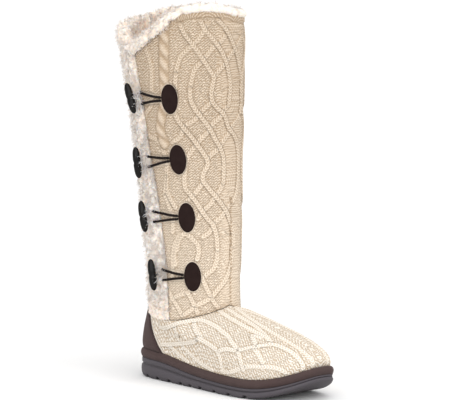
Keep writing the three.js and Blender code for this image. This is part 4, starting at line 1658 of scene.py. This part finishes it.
    def slit_fur(self) -> bpy.types.Object:
        """Tufted pile in the slit, its curls spilling over the knit's front edge here and there.

        Returns:
            The new piece.
        """
        rng = np.random.default_rng(SEED + 1)
        columns, rows = self.slit_grid
        across, rise = np.meshgrid(np.linspace(*self.slit_reach, columns), np.linspace(0.0, 1.0, rows))
        angle, z = FORM.slit_place(across, rise)
        skin = FORM.leg(angle, z, pile_out(across))
        flat = 1.0 - 0.8 * self.pressed(angle, z)
        big, small = (tufts(skin, count, reach, rng) for count, reach, _ in self.slit_tufts)
        high, low = (row[2] for row in self.slit_tufts)
        brim = ease(0.0, 0.1, across) * ease(0.0, 0.03, 1.0 - across)
        nest = self.nest(angle, z)
        tucked = 1.0 - 0.7 * (1.0 - ease(0.0, 0.35, across)) * (1.0 - ease(*self.tuck_span, z))
        lift = (high + nest) * big + low * small - self.tuft_sink + 2.2 * nest
        lift = lift * flat * brim * tucked
        outer = FORM.leg(angle, z, pile_out(across) + lift)
        coarse = (slice(None, None, self.step),) * 2
        inner = FORM.leg(angle[coarse], z[coarse], -FORM.knit_wall)
        # Painted light lifts the lower part of the pile; painted shade darkens it between its tufts and at
        # its bottom end
        pale = 0.16 * (1.0 - ease(*self.painted_light_span, z))
        tone = (0.38 + pale + 0.4 * big + 0.22 * small) * (0.6 + 0.4 * ease(0.0, 0.1, rise))
        parts, sharp = open_wall(outer, inner, tone)
        wander = 0.5 + 0.5 * np.sin(31.0 * rise + 2.0 * np.sin(9.0 * rise))
        spill = ease(0.84, 0.97, across) * (0.25 + 0.75 * wander) * (1.0 - 0.8 * ease(*self.spill_span, z))
        room = (0.6 + 0.4 * ease(0.0, 0.25, across)) * (0.6 + 0.4 * ease(0.0, 0.07, rise))
        room = room * (0.3 + 0.7 * flat)
        around = unit(FORM.leg(angle + 1.0, z) - FORM.leg(angle, z))
        lean = np.array([0.0, 0.0, -self.slit_droop]) * ease(0.0, 0.1, rise)[..., None]
        lean = lean + 2.0 * spill[..., None] * around
        self.coat(parts, self.slit_curls, outer, room + 0.3 * nest, 1.0 + 2.5 * spill + 2.0 * nest, lean, rng)
        return parts.build("slit_fur", self.wardrobe.get(FUR), sharp)

    def rim(self, share: Array) -> tuple[Array, Array]:
        """Angle and height of the collar edge, round the leg and then across the slit.

        Args:
            share: share of the way round, from the slit's front edge.

        Returns:
            Angles in degrees and heights in millimetres.
        """
        part = self.leg_part
        angle, z = FORM.shaft_place(np.minimum(share / part, 1.0), np.ones_like(share))
        across = np.clip((share - part) / (1 - part), 0.0, 1.0)
        slit_angle, slit_z = FORM.slit_place(across, np.ones_like(share))
        inside = share > part
        return np.where(inside, slit_angle, angle), np.where(inside, slit_z, z)

    def collar_fur(self) -> bpy.types.Object:
        """Tufted roll of fur over the collar and down inside it, spilling over the scoop.

        Returns:
            The new piece.
        """
        rng = np.random.default_rng(SEED + 2)
        share = np.linspace(0.0, 1.0, self.collar_points, endpoint=False)
        angle, z = self.rim(share)
        rolls = []
        for roll in (self.hem_roll, self.scoop_roll):
            rolls.append(curve_through(np.array([(*spot, 0.0) for spot in roll]), self.roll_points))
        spill = np.maximum(1.0 - ease(0.09, 0.15, share), ease(0.84, 0.9, share))[None, :, None]
        section = mix(rolls[0][:, None], rolls[1][:, None], spill)
        full = self.fullness * bell(share / self.leg_part - self.full_at, 0.11)
        level = z[None] + section[..., 1] + full[None] * ease(1.2, 5.0, section[..., 1])
        skin = FORM.leg(angle[None], level, section[..., 0])
        big, small = (tufts(skin, count, reach, rng) for count, reach, _ in self.collar_tufts)
        high, low = (row[2] for row in self.collar_tufts)
        round_roll = np.linspace(0.0, 1.0, len(skin))[:, None]
        open_side = mix(ease(0.14, 0.24, round_roll), ease(0.3, 0.38, round_roll), spill[..., 0])
        lift = (high * big + low * small - self.tuft_sink) * open_side
        rings = skin + grid_normals(skin, closed=True) * lift[..., None]
        rows, columns = level.shape
        ring = np.arange(columns)
        after, last = (ring + 1) % columns, (rows - 1) * columns
        under = np.stack([ring + last, after + last, after, ring], -1)
        parts = MeshParts()
        # Painted shade darkens the fur between its tufts
        parts.add(rings, [grid_faces(rows, columns, closed=True), under], 0.05 + 0.5 * big + 0.3 * small)
        hem = (1.0 - spill[..., 0]) * (1.0 - ease(0.5, 0.62, round_roll))
        room = open_side * (1.0 - 0.55 * hem)
        lean = np.broadcast_to(np.array([0.0, 0.0, -self.collar_droop]), rings.shape)
        self.coat(parts, self.collar_curls, rings, room, np.ones_like(room), lean, rng, closed=True)
        return parts.build("collar_fur", self.wardrobe.get(FUR))

    def build(self) -> None:
        """Builds and dresses the fur."""
        dress(self.slit_fur(), "fur", "fur_placket")
        dress(self.collar_fur(), "fur", "fur_collar")


# Toggle fastenings


@dataclass
class ToggleFastening:
    """Suede patch, twisted loop, horn bar and the stem that ties the bar down."""

    wardrobe: Wardrobe
    place: Fastening
    loop_points: int = 150
    lay: float = 7.0
    patch_points: int = 64
    bar_points: int = 28
    bar_rows: int = 41
    waist_depth: float = 0.16
    waist_width: float = 0.09
    strand_offset: float = 0.45
    strand_radius: float = 1.08
    strand_sides: int = 7
    loop_sink: float = 3.4
    # Rings of the patch from its cut edge to its middle: share of its size, share of its thickness and shade
    patch_rows: Table = (
        (1.0, 0.0, 0.2), (1.0, 0.5, 0.3), (0.985, 0.82, 0.55), (0.95, 1.0, 0.7), (0.8, 1.05, 0.85),
        (0.55, 1.12, 1.0), (0.3, 1.16, 1.0), (0.06, 1.18, 1.0),
    )

    def patch(self) -> bpy.types.Object:
        """Oval patch, softly domed, its cut edge rounded.

        Returns:
            The new piece.
        """
        place = self.place
        scale = FORM.per_degree(place.patch, place.z)
        turn = full_turn(self.patch_points)
        rings = []
        for ring, thick, _ in self.patch_rows:
            angle = place.patch + PATCH_WIDTH / 2 * ring * np.cos(turn) / scale
            z = place.z + PATCH_HEIGHT / 2 * ring * np.sin(turn)
            rings.append(FORM.leg(angle, z, FORM.gap + PATCH_THICK * thick))
        tone = np.repeat([row[2] for row in self.patch_rows], self.patch_points)
        parts = stacked_block(np.array(rings), tone)
        return parts.build(f"suede_patch_{place.number}", self.wardrobe.get(PATCH_SUEDE))

    def loop_path(self) -> Array:
        """Centre line of the loop, from the patch round under the bar and back.

        Returns:
            Points in millimetres.
        """
        place = self.place
        start = place.patch - (PATCH_WIDTH / 2 + FORM.gap) / FORM.per_degree(place.patch, place.z)
        legs = ((0.0, 1.8), (0.25, 2.6), (0.5, 4.0), (0.75, 5.6), (0.95, LOOP_SPREAD))
        half = [(mix(start, place.toggle, share), spread, place.drop * share) for share, spread in legs]
        half.append((place.toggle - 4.0, 0.8 * LOOP_SPREAD, place.drop))
        back = [(angle, -spread, low) for angle, spread, low in reversed(half)]
        course = [*half, (place.toggle - 7.0, 0.0, place.drop), *back]
        angle, spread, low = (np.array(column) for column in zip(*course))
        z = place.z + spread - low
        sunk = self.loop_sink * (1.0 - ease(3.0, 10.0, angle - place.toggle))
        points = FORM.leg(angle, z, cover_out(angle, z) + CORD_WIDTH / 2 + 2.5 * FORM.gap - sunk)
        return curve_through(points, self.loop_points)

    def twisted(self, parts: MeshParts, path: Array) -> None:
        """Adds a cord of two strands twisted along a path.

        Args:
            parts: mesh that takes the cord.
            path: centre line in millimetres.
        """
        way = unit(np.gradient(path, axis=0))
        side = unit(np.cross(way, [0.1, 0.2, 0.97]))
        up = np.cross(way, side)
        length = lengths(path)
        for start in (0.0, math.pi):
            phase = (start + 2 * math.pi * length / self.lay)[:, None]
            strand = path + self.strand_offset * (np.cos(phase) * side + np.sin(phase) * up)
            radius = np.full(len(path), self.strand_radius)
            tube(parts, strand, radius, self.strand_sides, 0.7)

    def loop(self) -> bpy.types.Object:
        """Twisted cord loop.

        Returns:
            The new piece.
        """
        parts = MeshParts()
        self.twisted(parts, self.loop_path())
        return parts.build(f"cord_loop_{self.place.number}", self.wardrobe.get(CORD))

    def bar_place(self, rise: float, out: float) -> Array:
        """Place over the pile at the bar.

        Args:
            rise: millimetres above the bar's middle.
            out: millimetres out from the pile.

        Returns:
            Point in millimetres.
        """
        place = self.place
        level = place.z - place.drop
        return FORM.leg(place.toggle, level + rise, cover_out(place.toggle, level) + out)

    @property
    def bar_out(self) -> float:
        """How far the bar's middle stands off the pile."""
        return CORD_WIDTH + TOGGLE_RADIUS + 4.5 * FORM.gap

    def bar(self) -> bpy.types.Object:
        """Horn bar, tapered to both ends, with a waist where its stem is tied.

        Returns:
            The new piece.
        """
        place, half = self.place, TOGGLE_LENGTH / 2
        along = np.sin(np.linspace(-math.pi / 2, math.pi / 2, self.bar_rows))
        taper = np.sqrt(np.clip(1.0 - np.abs(along) ** 5, 0.0, 1.0)) * (1.0 - 0.18 * along**2)
        waist = 1.0 - self.waist_depth * bell(along, self.waist_width)
        turn = full_turn(self.bar_points)
        radius = np.maximum(TOGGLE_RADIUS * taper * waist, 0.02)
        ring = np.stack([np.cos(turn), np.sin(turn), np.zeros_like(turn)], -1)
        rows = ring[None] * radius[:, None, None]
        rows[..., 2] += (along * half)[:, None]
        up = Vector(unit(self.bar_place(half, self.bar_out) - self.bar_place(-half, self.bar_out)))
        turned = np.radians(place.toggle)
        outward = Vector((-math.cos(turned), -math.sin(turned), 0.0))
        spin = Quaternion(outward, math.radians(place.lean)) @ Vector((0, 0, 1)).rotation_difference(up)
        matrix = np.array(spin.to_matrix())
        points = rows @ matrix.T + self.bar_place(0.0, self.bar_out)
        parts = stacked_block(points, 1.0)
        return parts.build(f"horn_toggle_{place.number}", self.wardrobe.get(HORN))

    def stem(self) -> bpy.types.Object:
        """Short stem of twisted cord between the pile and the bar.

        Returns:
            The new piece.
        """
        foot, top = self.bar_place(0.0, FORM.gap), self.bar_place(0.0, self.bar_out - TOGGLE_RADIUS + 0.3)
        path = mix(foot, top, np.linspace(0.0, 1.0, 24)[:, None])
        parts = MeshParts()
        self.twisted(parts, path)
        return parts.build(f"toggle_stem_{self.place.number}", self.wardrobe.get(CORD))

    def build(self) -> None:
        """Builds and dresses one fastening."""
        number = self.place.number
        dress(self.patch(), "suede", f"patch_{number}")
        dress(self.loop(), "cord", f"loop_{number}")
        dress(self.bar(), "horn", f"toggle_{number}")
        dress(self.stem(), "cord", f"toggle_cord_{number}")


# Sole


@dataclass
class SoleUnit:
    """Grooved rubber sole, suede band round it and the fleece insole."""

    wardrobe: Wardrobe
    ring_points: int = 480
    groove_depth: float = 3.8
    groove_width: float = 5.4
    groove_shade_at: float = 0.685
    groove_shade_width: float = 0.04
    insole_points: int = 160
    insole_middle: float = 130.0
    insole_top: float = 4.0
    # Rings of the insole: share of its width and height
    insole_rows: Table = (
        (1.0, 0.0), (1.0, 2.4), (0.985, 3.6), (0.96, 4.0), (0.8, 4.0), (0.6, 4.0), (0.35, 4.0), (0.12, 4.0),
    )
    grooves: tuple[float, ...] = (26, 47, 68, 89, 107, 125, 151, 176, 200)
    # Sides of the rubber and of the band: share of the height and inset of the outline
    rubber_side: Table = (
        (0, 3.4), (0.05, 2.2), (0.14, 0.9), (0.26, 0.3), (0.4, 0), (0.52, 0.15), (0.6, 0.5), (0.63, 1.2),
        (0.655, 2), (0.72, 2), (0.745, 1.3), (0.775, 0.9), (0.88, 0.8), (0.96, 0.95), (1, 1.4),
    )
    wrap_side: Table = (
        (0, 1.6), (0.07, 0.7), (0.18, 0.2), (0.34, -0.35), (0.5, -0.6), (0.66, -0.35),
        (0.82, 0.3), (0.93, 1.2), (1, 2.4),
    )

    def rings(self, side: Table, low: Heights, high: Heights) -> Array:
        """Stacked outlines of a sole layer between two height functions.

        Args:
            side: rows with the share of the layer's height and the inset of its outline.
            low: height of the layer's underside at each place along the boot.
            high: height of its top there.

        Returns:
            Points in millimetres.
        """
        rows = []
        for share, inset in side:
            ring = FORM.sole_ring(self.ring_points, inset)
            x = np.clip(ring[:, 0], 0.0, FORM.sole_length)
            rows.append(np.column_stack([ring, mix(low(x), high(x), share)]))
        return np.array(rows)

    def outsole(self) -> bpy.types.Object:
        """Rubber with its tread grooves open at the sides.

        Returns:
            The new piece.
        """
        rings = self.rings(self.rubber_side, FORM.ground, FORM.rubber_top)
        x = rings[..., 0]
        depth, half = np.zeros_like(x), self.groove_width / 2
        for at in self.grooves:
            cut = 1 - ease(half - 0.5, half + 0.5, np.abs(x - at))
            depth = np.maximum(depth, self.groove_depth * cut)
        floor = FORM.ground(np.clip(x, 0, FORM.sole_length)) + depth
        rings[..., 2] = np.maximum(rings[..., 2], floor)
        share = np.array([row[0] for row in self.rubber_side])
        # Painted shade in the groove round the rubber's side; the side is also darker towards its bottom edge
        line = bell(share - self.groove_shade_at, self.groove_shade_width)
        tone = 0.4 + 0.35 * ease(0.0, 0.3, share) - 0.05 * ease(0.7, 0.8, share) - 0.6 * line
        parts = stacked_block(rings, np.repeat(np.clip(tone, 0, 1), self.ring_points))
        return parts.build("rubber_sole", self.wardrobe.get(RUBBER))

    def wrap(self) -> bpy.types.Object:
        """Suede band round the sole's edge.

        Returns:
            The new piece.
        """
        rings = self.rings(self.wrap_side, lambda x: FORM.rubber_top(x) + FORM.gap, FORM.wrap_top)
        share = np.array([row[0] for row in self.wrap_side])
        tone = 0.35 + 0.65 * ease(0.05, 0.5, share)
        parts = stacked_block(rings, np.repeat(tone, self.ring_points))
        return parts.build("suede_band", self.wardrobe.get(SUEDE))

    def insole(self) -> bpy.types.Object:
        """Fleece pad on the floor of the foot.

        Returns:
            The new piece.
        """
        rng = np.random.default_rng(SEED + 3)
        count = self.insole_points
        turn = np.linspace(0.0, 360.0, count, endpoint=False)
        edge = FORM.upper_offset(np.zeros(count), turn, np.full(count, -FORM.knit_wall - FORM.gap - 0.2))
        rows = []
        for share, height in self.insole_rows:
            reach = mix(share, 1.0, 0.35 if share < 0.9 else 0.0)
            plan = np.column_stack([mix(self.insole_middle, edge[:, 0], reach), mix(0.0, edge[:, 1], share)])
            nub = 0.6 * rng.random(count) if height == self.insole_top else np.zeros(count)
            x = np.clip(plan[:, 0], 0, FORM.sole_length)
            rows.append(np.column_stack([plan, FORM.wrap_top(x) + 2 * FORM.gap + height - nub]))
        parts = stacked_block(np.array(rows), 0.8)
        return parts.build("fleece_insole", self.wardrobe.get(FLEECE))

    def build(self) -> None:
        """Builds and dresses the sole."""
        dress(self.outsole(), "rubber", "outsole")
        dress(self.wrap(), "suede", "midsole")
        dress(self.insole(), "fleece", "insole")


# Studio


@dataclass
class Studio:
    """Pale floor, soft light and the camera."""

    azimuth: float = 43.04
    elevation: float = 5.334
    distance: float = 2.5
    target: tuple[float, float, float] = (-0.0006, 0.0, 0.2)
    image_width: float = 450.0
    image_height: float = 400.0
    focal: float = 2282.2
    centre: tuple[float, float] = (224.77, 205.81)
    floor_size: float = 500.0
    sky: float = 0.86
    sunlight: float = 1.82
    glint: float = 1.2
    sun_spread: float = 75.0
    strip_size: tuple[float, float] = (0.05, 0.35)

    def toward_camera(self) -> Vector:
        """Direction from the boot to the camera."""
        az, el = math.radians(self.azimuth), math.radians(self.elevation)
        return Vector((math.cos(el) * math.cos(az), -math.cos(el) * math.sin(az), math.sin(el)))

    def camera(self) -> None:
        """Camera at the angle from which the boot is shown."""
        data = bpy.data.cameras.new("camera")
        data.sensor_width = 36.0
        data.lens = data.sensor_width * self.focal / self.image_width
        data.shift_x = (self.image_width / 2 - self.centre[0]) / self.image_width
        data.shift_y = (self.centre[1] - self.image_height / 2) / self.image_width
        data.clip_end = 1000.0
        camera = bpy.data.objects.new("camera", data)
        back = self.toward_camera()
        camera.location = Vector(self.target) + back * self.distance
        camera.rotation_euler = (-back).to_track_quat("-Z", "Y").to_euler()
        bpy.context.scene.collection.objects.link(camera)
        bpy.context.scene.camera = camera

    def aim(self, lamp: bpy.types.Light, place: Vector, at: Vector, power: float) -> None:
        """Puts a light at a place, aimed at a point.

        Args:
            lamp: light to place.
            place: where it stands, in metres.
            at: point that it faces.
            power: its strength.
        """
        lamp.energy = power
        holder = bpy.data.objects.new(lamp.name, lamp)
        holder.location = place
        holder.rotation_euler = (at - place).to_track_quat("-Z", "Y").to_euler()
        bpy.context.scene.collection.objects.link(holder)

    def sun(self, name: str, place: Vector, power: float) -> None:
        """Wide soft light from one side of the sky.

        Args:
            name: name of the light.
            place: side of the sky, seen from the origin.
            power: its strength.
        """
        data = bpy.data.lights.new(name, "SUN")
        data.angle = math.radians(self.sun_spread)
        self.aim(data, place, Vector(), power)

    def strip(self, name: str, place: Vector, power: float) -> None:
        """Narrow upright light that draws a bright line on glossy pieces.

        Args:
            name: name of the light.
            place: where it stands, in metres.
            power: its strength.
        """
        data = bpy.data.lights.new(name, "AREA")
        data.shape = "RECTANGLE"
        data.size, data.size_y = self.strip_size
        self.aim(data, place, Vector(self.target), power)

    def floor(self) -> None:
        """Wide pale floor."""
        half = self.floor_size
        mesh = bpy.data.meshes.new("floor")
        corners = [(-half, -half, 0), (half, -half, 0), (half, half, 0), (-half, half, 0)]
        mesh.from_pydata(corners, [], [(0, 1, 2, 3)])
        material = bpy.data.materials.new("pale_floor")
        material.use_nodes = True
        shader = material.node_tree.nodes["Principled BSDF"]
        shader.inputs["Base Color"].default_value = (0.9, 0.9, 0.9, 1.0)
        shader.inputs["Roughness"].default_value = 1.0
        shader.inputs["Specular IOR Level"].default_value = 0.0
        mesh.materials.append(material)
        floor = bpy.data.objects.new("floor", mesh)
        bpy.context.scene.collection.objects.link(floor)

    def build(self) -> None:
        """Builds the studio."""
        world = bpy.data.worlds.new("studio")
        world.use_nodes = True
        sky = world.node_tree.nodes["Background"]
        sky.inputs["Color"].default_value = (1.0, 1.0, 1.0, 1.0)
        sky.inputs["Strength"].default_value = self.sky
        bpy.context.scene.world = world
        bpy.context.scene.view_settings.view_transform = "Standard"
        back = self.toward_camera()
        left = Vector((-math.sin(math.radians(self.azimuth)), -math.cos(math.radians(self.azimuth)), 0.0))
        self.sun("overhead", back - left * 0.3 + Vector((0.0, 0.0, 0.85)), self.sunlight)
        self.strip("glint", (back + left * 0.5) * 1.1 + Vector((0.0, 0.0, 0.3)), self.glint)
        self.floor()
        self.camera()


def main() -> None:
    """Loads the solids, dresses each sub-assembly in turn and sets up the studio."""
    logging.basicConfig(level=logging.INFO, format="%(name)s: %(message)s")
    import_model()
    wardrobe = Wardrobe()
    KnitShaft(wardrobe).build()
    KnitFoot(wardrobe).build()
    Fur(wardrobe).build()
    for place in FASTENINGS:
        ToggleFastening(wardrobe, place).build()
    SoleUnit(wardrobe).build()
    Studio().build()


if __name__ == "__main__":
    main()
